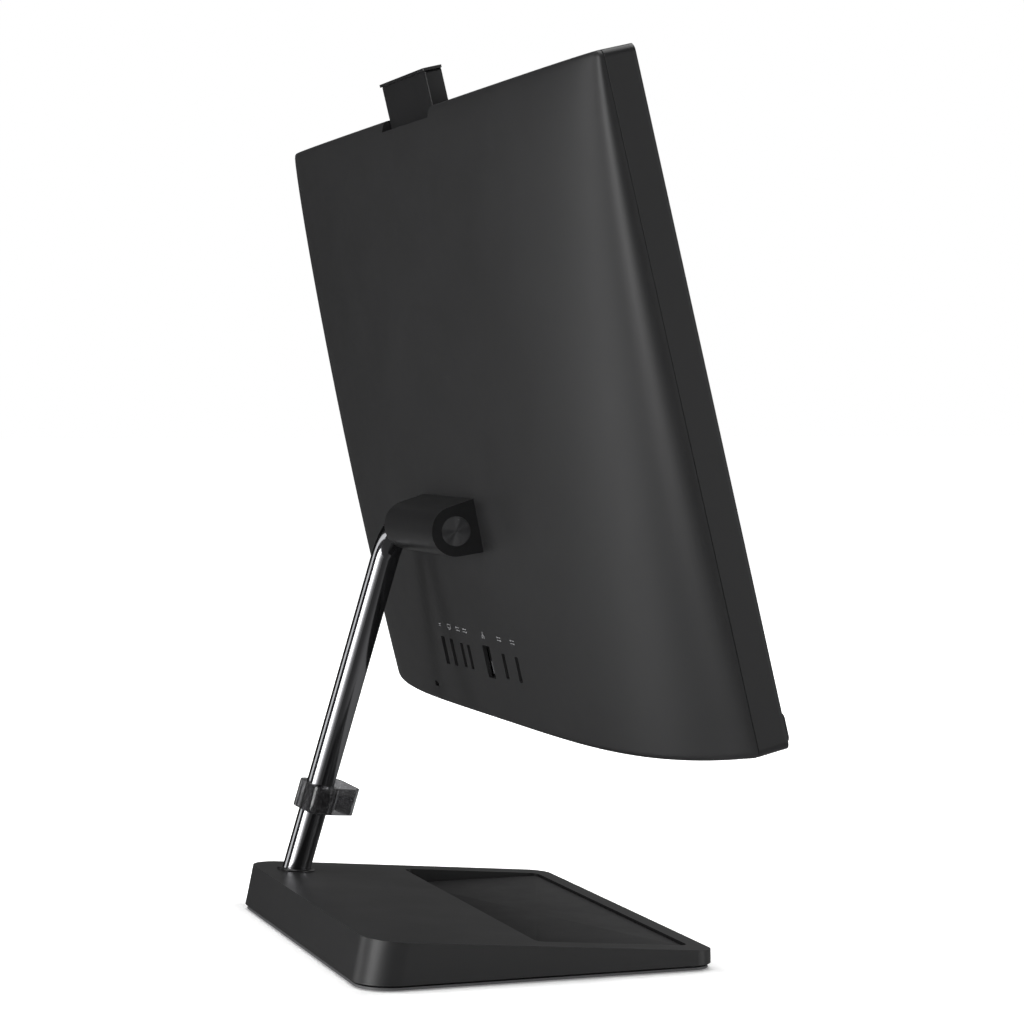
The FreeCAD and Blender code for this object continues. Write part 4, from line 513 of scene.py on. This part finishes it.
def make_clip():
    """A block gripped round the pole, with an open loop that holds the cable."""
    back, front, half, wall = CLIP["back"], CLIP["front"], CLIP["half"], CLIP["wall"]
    grip, (slit_back, slit_front), lip = CLIP["grip"], CLIP_SLIT, CLIP_LIP
    rb, rf = CLIP_BACK_ROUND, CLIP_FRONT_ROUND
    ri = rf - wall
    outline = arc_points(front - rf, -half + rf, rf, -90, 0)
    outline += arc_points(front - rf, half - rf, rf, 0, 90)
    outline += [(slit_front + lip, half), (slit_front, half - wall / 2)]
    outline += [(slit_front + lip, half - wall)]
    outline += arc_points(front - wall - ri, half - wall - ri, ri, 90, 0, 6)
    outline += arc_points(front - wall - ri, -half + wall + ri, ri, 0, -90, 6)
    outline += arc_points(grip + 1, -half + wall + 1, 1.0, -90, -180, 3)
    outline += arc_points(grip + 1, half - wall - 1, 1.0, 180, 90, 3)
    outline += [(slit_back - lip, half - wall), (slit_back, half - wall / 2)]
    outline += [(slit_back - lip, half)]
    outline += arc_points(-back + rb, half - rb, rb, 90, 180)
    outline += arc_points(-back + rb, -half + rb, rb, 180, 270)
    hole = disc(0, 0, CLIP_HOLE, 56)
    bm = bmesh.new()
    loops = []
    for ring in (outline, hole):
        verts = [bm.verts.new(Vector((p, q, 0)) * MM) for p, q in ring]
        loops += [bm.edges.new(pair) for pair in zip(verts, verts[1:] + verts[:1])]
    bmesh.ops.triangle_fill(bm, use_beauty=True, use_dissolve=False, edges=loops)
    grown = bmesh.ops.extrude_face_region(bm, geom=bm.faces[:])
    tops = [v for v in grown["geom"] if isinstance(v, bmesh.types.BMVert)]
    bmesh.ops.translate(bm, vec=Vector((0, 0, CLIP["height"] * MM)), verts=tops)
    bmesh.ops.recalc_face_normals(bm, faces=bm.faces[:])
    rim = [
        e
        for e in bm.edges
        if len(e.link_faces) == 2 and e.calc_face_angle(0.0) > math.radians(60)
        and abs(e.verts[0].co.z - e.verts[1].co.z) < 1e-7
    ]
    bmesh.ops.bevel(
        bm,
        geom=rim,
        offset=CLIP_EDGE * MM,
        segments=3,
        profile=0.5,
        affect="EDGES",
        clamp_overlap=True,
    )
    upright = Vector((0, 0, 1)).rotation_difference(pole_up).to_matrix().to_4x4()
    place = (
        Matrix.Translation(foot + pole_up * CLIP_AT * MM)
        @ upright
        @ Matrix.Rotation(math.radians(CLIP_TURN), 4, "Z")
    )
    clip = from_bmesh("clip_loop", bm, place)
    smooth(clip, 35)
    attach(clip, "clip")
    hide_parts("cable_clip")
    return clip


clip = make_clip()


# ---------------------------------------------------------------- mat in the tray
PAD_CORNER, PAD_ROLL, PAD_MIDDLE = 4.5, 0.35, 0.1


def make_pad():
    """A soft mat with round corners and a rolled edge."""
    low, high = (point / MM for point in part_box("tray_mat"))
    bm = bmesh.new()
    levels = (
        (0.0, low.z),
        (0.0, high.z - PAD_ROLL),
        (PAD_MIDDLE, high.z - PAD_MIDDLE),
        (PAD_ROLL, high.z),
    )
    rings = []
    for inset, level in levels:
        sides = (low.x + inset, high.x - inset, low.y + inset, high.y - inset)
        outline = rounded(*sides, PAD_CORNER - inset, 6)
        rings.append([bm.verts.new(along_z(p, q, level)) for p, q in outline])
    count = len(rings[0])
    bm.faces.new(rings[0][::-1])
    for lower, upper in zip(rings, rings[1:]):
        for k in range(count):
            j = (k + 1) % count
            bm.faces.new((lower[k], lower[j], upper[j], upper[k]))
    top = bm.faces.new(rings[-1])
    bmesh.ops.poke(bm, faces=[top])
    bmesh.ops.recalc_face_normals(bm, faces=bm.faces[:])
    pad = smooth(from_bmesh("tray_pad", bm), 35)
    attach(pad, "stand")
    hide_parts("tray_mat")
    return pad


pad = make_pad()

# ---------------------------------------------------------------- rounds on the moulded pieces
ROUNDS = {  # width in millimetres, segments
    "hinge_housing": (0.6, 3),
    "camera_body": (1.3, 4),
    "camera_lid": (0.35, 2),
    "base_cover": (0.8, 3),
    "speaker_bar": (0.3, 2),
    "base_bottom": (0.4, 2),
    "rubber_feet": (0.5, 2),
    "pole_ferrule": (0.25, 2),
    "lan_jaw": (0.15, 1),
    "power_button": (0.2, 2),
}
for name, (width, segments) in ROUNDS.items():
    soften(name, width, segments)


# ---------------------------------------------------------------- materials
class Paint:
    """A procedural surface whose textures lie in the mesh's own space."""

    def __init__(self, name, color, rough, metal=0.0, specular=0.5):
        self.mat = bpy.data.materials.new(name)
        self.mat.use_nodes = True
        self.tree = self.mat.node_tree
        self.shader = self.tree.nodes["Principled BSDF"]
        self.color, self.rough = color, rough
        self.shader.inputs["Base Color"].default_value = (*color, 1)
        self.shader.inputs["Roughness"].default_value = rough
        self.shader.inputs["Metallic"].default_value = metal
        self.shader.inputs["Specular IOR Level"].default_value = specular
        self.place = self.tree.nodes.new("ShaderNodeTexCoord").outputs["Object"]
        self.height = None

    def node(self, kind, **inputs):
        made = self.tree.nodes.new(kind)
        for key, value in inputs.items():
            made.inputs[key.replace("_", " ")].default_value = value
        return made

    def link(self, start, finish):
        self.tree.links.new(start, finish)

    def calculate(self, operation, first, second):
        """A Math node; second is a number or an output."""
        made = self.tree.nodes.new("ShaderNodeMath")
        made.operation = operation
        self.link(first, made.inputs[0])
        if isinstance(second, float):
            made.inputs[1].default_value = second
        else:
            self.link(second, made.inputs[1])
        return made.outputs[0]

    def scaled(self, x, y, z):
        mapping = self.tree.nodes.new("ShaderNodeMapping")
        mapping.inputs["Scale"].default_value = (x, y, z)
        self.link(self.place, mapping.inputs["Vector"])
        return mapping.outputs["Vector"]

    def noise(self, size, detail=2.0, vector=None, rough=0.5):
        made = self.node("ShaderNodeTexNoise", Scale=1 / size, Detail=detail, Roughness=rough)
        self.link(vector if vector is not None else self.place, made.inputs["Vector"])
        return made.outputs["Fac"]

    def ranged(self, value, low, high, start=0.25, stop=0.75):
        made = self.tree.nodes.new("ShaderNodeMapRange")
        made.inputs["From Min"].default_value = start
        made.inputs["From Max"].default_value = stop
        made.inputs["To Min"].default_value = low
        made.inputs["To Max"].default_value = high
        self.link(value, made.inputs["Value"])
        return made.outputs["Result"]

    def blend_color(self, value, first, second):
        made = self.tree.nodes.new("ShaderNodeMix")
        made.data_type = "RGBA"
        made.inputs[6].default_value = (*first, 1)
        made.inputs[7].default_value = (*second, 1)
        self.link(value, made.inputs[0])
        return made.outputs[2]

    def tint(self, size, spread, detail=3.0):
        """Colour that drifts a little over the surface."""
        light = tuple(min(c * (1 + spread), 1) for c in self.color)
        dark = tuple(c * (1 - spread) for c in self.color)
        value = self.ranged(self.noise(size, detail), 0, 1)
        self.link(self.blend_color(value, dark, light), self.shader.inputs["Base Color"])
        return self

    def sheen_drift(self, size, spread, vector=None):
        """Roughness that varies over the surface."""
        value = self.ranged(
            self.noise(size, 3.0, vector), self.rough - spread, self.rough + spread
        )
        self.link(value, self.shader.inputs["Roughness"])
        return self

    def relief(self, value, depth, strength=1.0):
        bump = self.tree.nodes.new("ShaderNodeBump")
        bump.inputs["Strength"].default_value = strength
        bump.inputs["Distance"].default_value = depth
        self.link(value, bump.inputs["Height"])
        if self.height is not None:
            self.link(self.height, bump.inputs["Normal"])
        self.height = bump.outputs["Normal"]
        self.link(self.height, self.shader.inputs["Normal"])
        return self

    def grain(self, size, depth, strength=1.0):
        return self.relief(self.noise(size, 2.0), depth, strength)

    def bands(self, axis, size, vector=None):
        wave = self.tree.nodes.new("ShaderNodeTexWave")
        wave.wave_type = "BANDS"
        wave.bands_direction = axis
        wave.wave_profile = "SIN"
        wave.inputs["Scale"].default_value = math.tau / size / 20
        self.link(vector if vector is not None else self.place, wave.inputs["Vector"])
        return wave.outputs["Fac"]


def moulded(name, color, rough, specular=0.35, grain=0.0005, depth=0.00002, spread=0.05):
    """Moulded plastic: spark-eroded grain, faint clouds in its colour, uneven gloss."""
    return (
        Paint(name, color, rough, 0.0, specular)
        .tint(0.06, spread)
        .sheen_drift(0.03, 0.02)
        .grain(grain, depth, 0.6)
    )


shell = moulded("moulded_shell", (0.0145, 0.0145, 0.0150), 0.42, 0.30)
band = moulded("moulded_band", (0.0105, 0.0105, 0.0110), 0.36, 0.28)
satin = moulded("satin_black", (0.0095, 0.0095, 0.0100), 0.30, 0.35, 0.0004, 0.00001)
hinge_skin = moulded("hinge_black", (0.0100, 0.0100, 0.0105), 0.33, 0.35, 0.0004, 0.00001)
base_skin = moulded("moulded_base", (0.0150, 0.0150, 0.0155), 0.40, 0.32)
dark_plastic = moulded("dark_plastic", (0.012, 0.012, 0.012), 0.5, 0.3)
grey_plastic = moulded("grey_plastic", (0.075, 0.075, 0.078), 0.5, 0.4)
white_sheet = moulded("white_reflector", (0.75, 0.75, 0.74), 0.5, 0.4)
foot_rubber = moulded("soft_rubber", (0.022, 0.022, 0.022), 0.75, 0.25, 0.0012, 0.00005)

mark_ink = Paint("mark_ink", (0.20, 0.20, 0.205), 0.55).tint(0.0006, 0.12)

chrome = Paint("black_chrome", (0.26, 0.26, 0.27), 0.13, 1.0)
chrome.tint(0.05, 0.05).sheen_drift(0.02, 0.02).grain(0.004, 0.000006, 0.3)
chrome.shader.inputs["Specular Tint"].default_value = (0.5, 0.5, 0.5, 1)

cap_metal = Paint("spun_metal", (0.50, 0.50, 0.51), 0.24, 1.0)
cap_metal.tint(0.004, 0.08)
cap_metal.shader.inputs["Anisotropic"].default_value = 0.95
tangent = cap_metal.tree.nodes.new("ShaderNodeTangent")
tangent.direction_type = "RADIAL"
tangent.axis = "X"
cap_metal.link(tangent.outputs["Tangent"], cap_metal.shader.inputs["Tangent"])
cap_metal.sheen_drift(0.0008, 0.04)

steel = Paint("zinc_steel", (0.42, 0.42, 0.43), 0.34, 1.0)
steel.tint(0.006, 0.12).sheen_drift(0.004, 0.08, steel.scaled(1, 1, 0.05))
steel.grain(0.001, 0.00001, 0.4)
alloy = Paint("mill_alloy", (0.62, 0.62, 0.63), 0.32, 1.0)
alloy.tint(0.01, 0.06).sheen_drift(0.003, 0.06).grain(0.0008, 0.00001, 0.4)
nickel = Paint("nickel_shell", (0.50, 0.49, 0.47), 0.22, 1.0)
nickel.tint(0.003, 0.08).sheen_drift(0.002, 0.05)
copper = Paint("copper", (0.55, 0.26, 0.15), 0.3, 1.0)
copper.tint(0.005, 0.15).sheen_drift(0.004, 0.08)
cast = Paint("cast_block", (0.10, 0.10, 0.10), 0.6, 1.0)
cast.tint(0.004, 0.2).grain(0.0015, 0.0002)

board = Paint("solder_mask", (0.010, 0.075, 0.035), 0.35)
cells = board.node("ShaderNodeTexVoronoi", Scale=260.0)
cells.distance = "CHEBYCHEV"
board.link(board.place, cells.inputs["Vector"])
tracks = board.ranged(cells.outputs["Distance"], 0, 1, 0.35, 0.4)
board.link(
    board.blend_color(tracks, (0.010, 0.075, 0.035), (0.03, 0.13, 0.06)),
    board.shader.inputs["Base Color"],
)
board.relief(tracks, 0.00004).sheen_drift(0.01, 0.05)

cloth = Paint("acoustic_cloth", (0.012, 0.012, 0.013), 0.8, 0.0, 0.25)
weave = cloth.calculate("MULTIPLY", cloth.bands("X", 0.0011), cloth.bands("Z", 0.0011))
cloth.link(
    cloth.blend_color(weave, (0.022, 0.022, 0.023), (0.004, 0.004, 0.004)),
    cloth.shader.inputs["Base Color"],
)
cloth.relief(weave, 0.00015, 0.8).sheen_drift(0.01, 0.06)

mat_rubber = Paint("ribbed_mat", (0.022, 0.022, 0.0225), 0.55, 0.0, 0.3)
fine = mat_rubber.bands("Y", 0.0011)
mat_rubber.tint(0.03, 0.06).relief(fine, 0.00002, 0.4).grain(0.0007, 0.00002, 0.5)
mat_rubber.sheen_drift(0.02, 0.05)

glass = Paint("display_glass", (0.0035, 0.0038, 0.0045), 0.16, 0.0, 0.5)
glass.tint(0.2, 0.08).grain(0.0005, 0.000004, 0.35).sheen_drift(0.08, 0.015)
lens = Paint("coated_lens", (0.004, 0.004, 0.010), 0.05, 0.0, 0.8)
lens.tint(0.002, 0.3).sheen_drift(0.002, 0.01)
window = Paint("black_window", (0.003, 0.003, 0.0035), 0.07, 0.0, 0.5)
window.tint(0.02, 0.1).sheen_drift(0.02, 0.01)

smoke = Paint("smoke_plastic", (0.13, 0.13, 0.134), 0.07, 0.0, 0.5)
smoke.shader.inputs["Transmission Weight"].default_value = 0.9
smoke.shader.inputs["IOR"].default_value = 1.46
smoke.tint(0.01, 0.06).sheen_drift(0.006, 0.03).grain(0.003, 0.00001, 0.4)

FINISH = {
    shell: ["rear_cover", cover],
    band: ["middle_frame"],
    satin: ["front_bezel", "camera_body", "camera_lid", "power_button"],
    hinge_skin: ["hinge_housing", "pole_ferrule"],
    base_skin: ["base_cover"],
    dark_plastic: [
        "speaker_left",
        "speaker_right",
        "fan_housing",
        "fan_rotor",
        "dc_inlet",
        "lan_port",
        "camera_guide",
    ],
    grey_plastic: ["base_bottom", "lan_jaw"],
    white_sheet: ["backlight_unit"],
    foot_rubber: ["rubber_feet"],
    mark_ink: marks,
    chrome: [pole, "pole"],
    cap_metal: ["hinge_end_cap"],
    steel: [
        "hinge_spindle",
        "disc_springs",
        "spindle_nut",
        "base_weight",
        "base_screws",
        "socket_screws",
        "chassis_plate",
        "hinge_bracket",
        "drive_bracket",
        "friction_sleeve",
        "housing_screws",
    ],
    alloy: ["hard_drive", "fin_stack"],
    nickel: ["hdmi_port", "usb_ports"],
    copper: ["heatsink_block", "heat_pipe"],
    cast: ["pole_socket"],
    board: [
        "mainboard",
        "memory_modules",
        "ssd_module",
        "wifi_card",
        "power_button_board",
        "camera_board",
    ],
    cloth: ["speaker_bar"],
    mat_rubber: ["tray_mat", pad],
    glass: ["lcd_panel"],
    lens: ["camera_lens"],
    window: ["camera_window"],
    smoke: [clip, "cable_clip"],
}
painted = set()
for paint, things in FINISH.items():
    for thing in things:
        if isinstance(thing, str):
            painted.add(thing)
            thing = nodes[thing]
        thing.data.materials.clear()
        thing.data.materials.append(paint.mat)
missing = sorted(set(nodes) - painted)
if missing:
    raise RuntimeError(f"no finish for {missing}")


# ---------------------------------------------------------------- studio
scene = bpy.context.scene
FLOOR_HALF, DOME_RADIUS = 24.0, 26.0
# The floor glows, and less so close to the base: a painted soft contact shadow.
PAINTED_SHADOW_GLOW, FAR_GLOW, PAINTED_SHADOW_SPAN = 0.20, 0.96, (-0.002, 0.03)
base_low, base_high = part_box("base_cover")
base_half = (base_high - base_low) / 2


def make_floor():
    """A pale glowing floor, hidden from glossy rays, that casts no shadow; its glow is lower near
    the base, a painted contact shadow.
    """
    bm = bmesh.new()
    bmesh.ops.create_grid(bm, x_segments=20, y_segments=20, size=FLOOR_HALF)
    floor = from_bmesh("studio_floor", bm)
    floor.location.z = cad_box[0].z - 0.0002
    floor.visible_glossy = False
    floor.visible_shadow = False
    paint = Paint("pale_floor_painted_shadow", (0.90, 0.90, 0.90), 0.6, 0.0, 0.1)
    paint.tint(0.8, 0.01).grain(0.002, 0.00002, 0.2)
    parts = paint.tree.nodes.new("ShaderNodeSeparateXYZ")
    paint.link(paint.place, parts.inputs[0])
    gaps = [
        paint.calculate("SUBTRACT", paint.calculate("ABSOLUTE", parts.outputs[axis], 0.0), half)
        for axis, half in (("X", base_half.x), ("Y", base_half.y))
    ]
    # Emission falls off near the base's outline: a painted contact shadow on the floor.
    glow = paint.ranged(paint.calculate("MAXIMUM", *gaps), PAINTED_SHADOW_GLOW, FAR_GLOW, *PAINTED_SHADOW_SPAN)
    paint.shader.inputs["Emission Color"].default_value = (1, 1, 1, 1)
    paint.link(glow, paint.shader.inputs["Emission Strength"])
    floor.data.materials.append(paint.mat)
    return floor


def make_backdrop():
    """A white dome that only closes the picture; the light comes from the softboxes."""
    bm = bmesh.new()
    bmesh.ops.create_uvsphere(bm, u_segments=48, v_segments=24, radius=DOME_RADIUS)
    dome = from_bmesh("studio_backdrop", bm)
    dome.visible_glossy = False
    dome.visible_diffuse = False
    dome.visible_shadow = False
    white = bpy.data.materials.new("backdrop_white")
    white.use_nodes = True
    tree = white.node_tree
    glow = tree.nodes.new("ShaderNodeEmission")
    glow.inputs["Color"].default_value = (1, 1, 1, 1)
    glow.inputs["Strength"].default_value = 1.0
    tree.links.new(glow.outputs[0], tree.nodes["Material Output"].inputs["Surface"])
    dome.data.materials.append(white)
    return dome


make_floor()
make_backdrop()


def softbox(name, place, target, size, radiance):
    """An area light aimed at a point, with the same brightness whatever its size."""
    data = bpy.data.lights.new(name, "AREA")
    data.shape = "RECTANGLE"
    data.size, data.size_y = size
    data.energy = radiance * math.pi * size[0] * size[1]
    light = bpy.data.objects.new(name, data)
    scene.collection.objects.link(light)
    light.visible_camera = False
    light.location = place
    way = Vector(target) - Vector(place)
    light.rotation_mode = "QUATERNION"
    light.rotation_quaternion = way.to_track_quat("-Z", "Y")
    return light


LOW_MIDDLE = (0.09, 0.05, 0.15)
SOFTBOXES = (  # name, place, target, size, radiance
    # the white stripe along the pole, and three weaker boxes beside it that let it fade
    ("strip", (-0.376, 1.893, 0.30), LOW_MIDDLE, (0.73, 1.2), 8.0),
    ("strip_fade_a", (-0.870, 1.690, 0.28), LOW_MIDDLE, (0.33, 1.2), 2.4),
    ("strip_fade_b", (-1.137, 1.500, 0.26), LOW_MIDDLE, (0.33, 1.2), 0.8),
    ("strip_fade_c", (-1.390, 1.238, 0.24), LOW_MIDDLE, (0.40, 1.2), 0.25),
    # grazing light on the back of the cover
    ("key", (1.30, 1.85, 0.10), (0.0, 0.0, 0.20), (0.8, 1.9), 2.0),
    # the highlight on the hinge's end cap
    ("disc", (-1.15, -1.55, 0.16), (0.0, 0.017, 0.22), (0.40, 0.60), 6.0),
    # fill from the side, the front and above
    ("side", (-1.9, -1.5, 0.55), (0.0, 0.0, 0.25), (1.8, 1.6), 1.1),
    ("front", (0.9, -2.1, 0.9), (0.0, 0.0, 0.25), (2.0, 1.4), 0.8),
    ("top", (0.0, 0.2, 2.6), (0.0, 0.0, 0.2), (2.6, 2.6), 3.4),
)
for row in SOFTBOXES:
    softbox(*row)


def fade(tree, value, span, strengths):
    """A smooth step from one strength to another over a span of the value."""
    made = tree.nodes.new("ShaderNodeMapRange")
    made.interpolation_type = "SMOOTHSTEP"
    for key, number in zip(("From Min", "From Max", "To Min", "To Max"), (*span, *strengths)):
        made.inputs[key].default_value = number
    tree.links.new(value, made.inputs["Value"])
    return made.outputs["Result"]


def make_world():
    """A dim room, brightest on the screen's side, with a little more light from below."""
    world = bpy.data.worlds.new("studio_world")
    world.use_nodes = True
    tree = world.node_tree
    sky = tree.nodes["Background"]
    sky.inputs["Color"].default_value = (1.0, 1.0, 1.0, 1)
    room = tree.nodes.new("ShaderNodeTexCoord")
    split = tree.nodes.new("ShaderNodeSeparateXYZ")
    tree.links.new(room.outputs["Generated"], split.inputs[0])
    total = tree.nodes.new("ShaderNodeMath")
    total.operation = "ADD"
    level = fade(tree, split.outputs["Y"], (-0.6, 0.2), (0.22, 0.02))
    below = fade(tree, split.outputs["Z"], (-0.22, -0.05), (0.08, 0.0))
    tree.links.new(level, total.inputs[0])
    tree.links.new(below, total.inputs[1])
    tree.links.new(total.outputs[0], sky.inputs["Strength"])
    scene.world = world


make_world()

scene.view_settings.view_transform = "Standard"
scene.view_settings.look = "None"
scene.view_settings.exposure = 0.0
scene.view_settings.gamma = 1.0

# ---------------------------------------------------------------- camera
# The photograph's own view: azimuth 251.3 degrees, elevation 2.1 degrees.
camera_data = bpy.data.cameras.new("camera")
camera_data.lens = 98.84
camera_data.sensor_width = 36.0
camera_data.clip_start, camera_data.clip_end = 0.05, 60.0
camera = bpy.data.objects.new("camera", camera_data)
scene.collection.objects.link(camera)
camera.location = (-1.4414, 0.4603, 0.2852)
aim = Vector((-0.0015, -0.0280, 0.2289)) - camera.location
camera.rotation_mode = "QUATERNION"
camera.rotation_quaternion = aim.to_track_quat("-Z", "Y")
scene.camera = camera
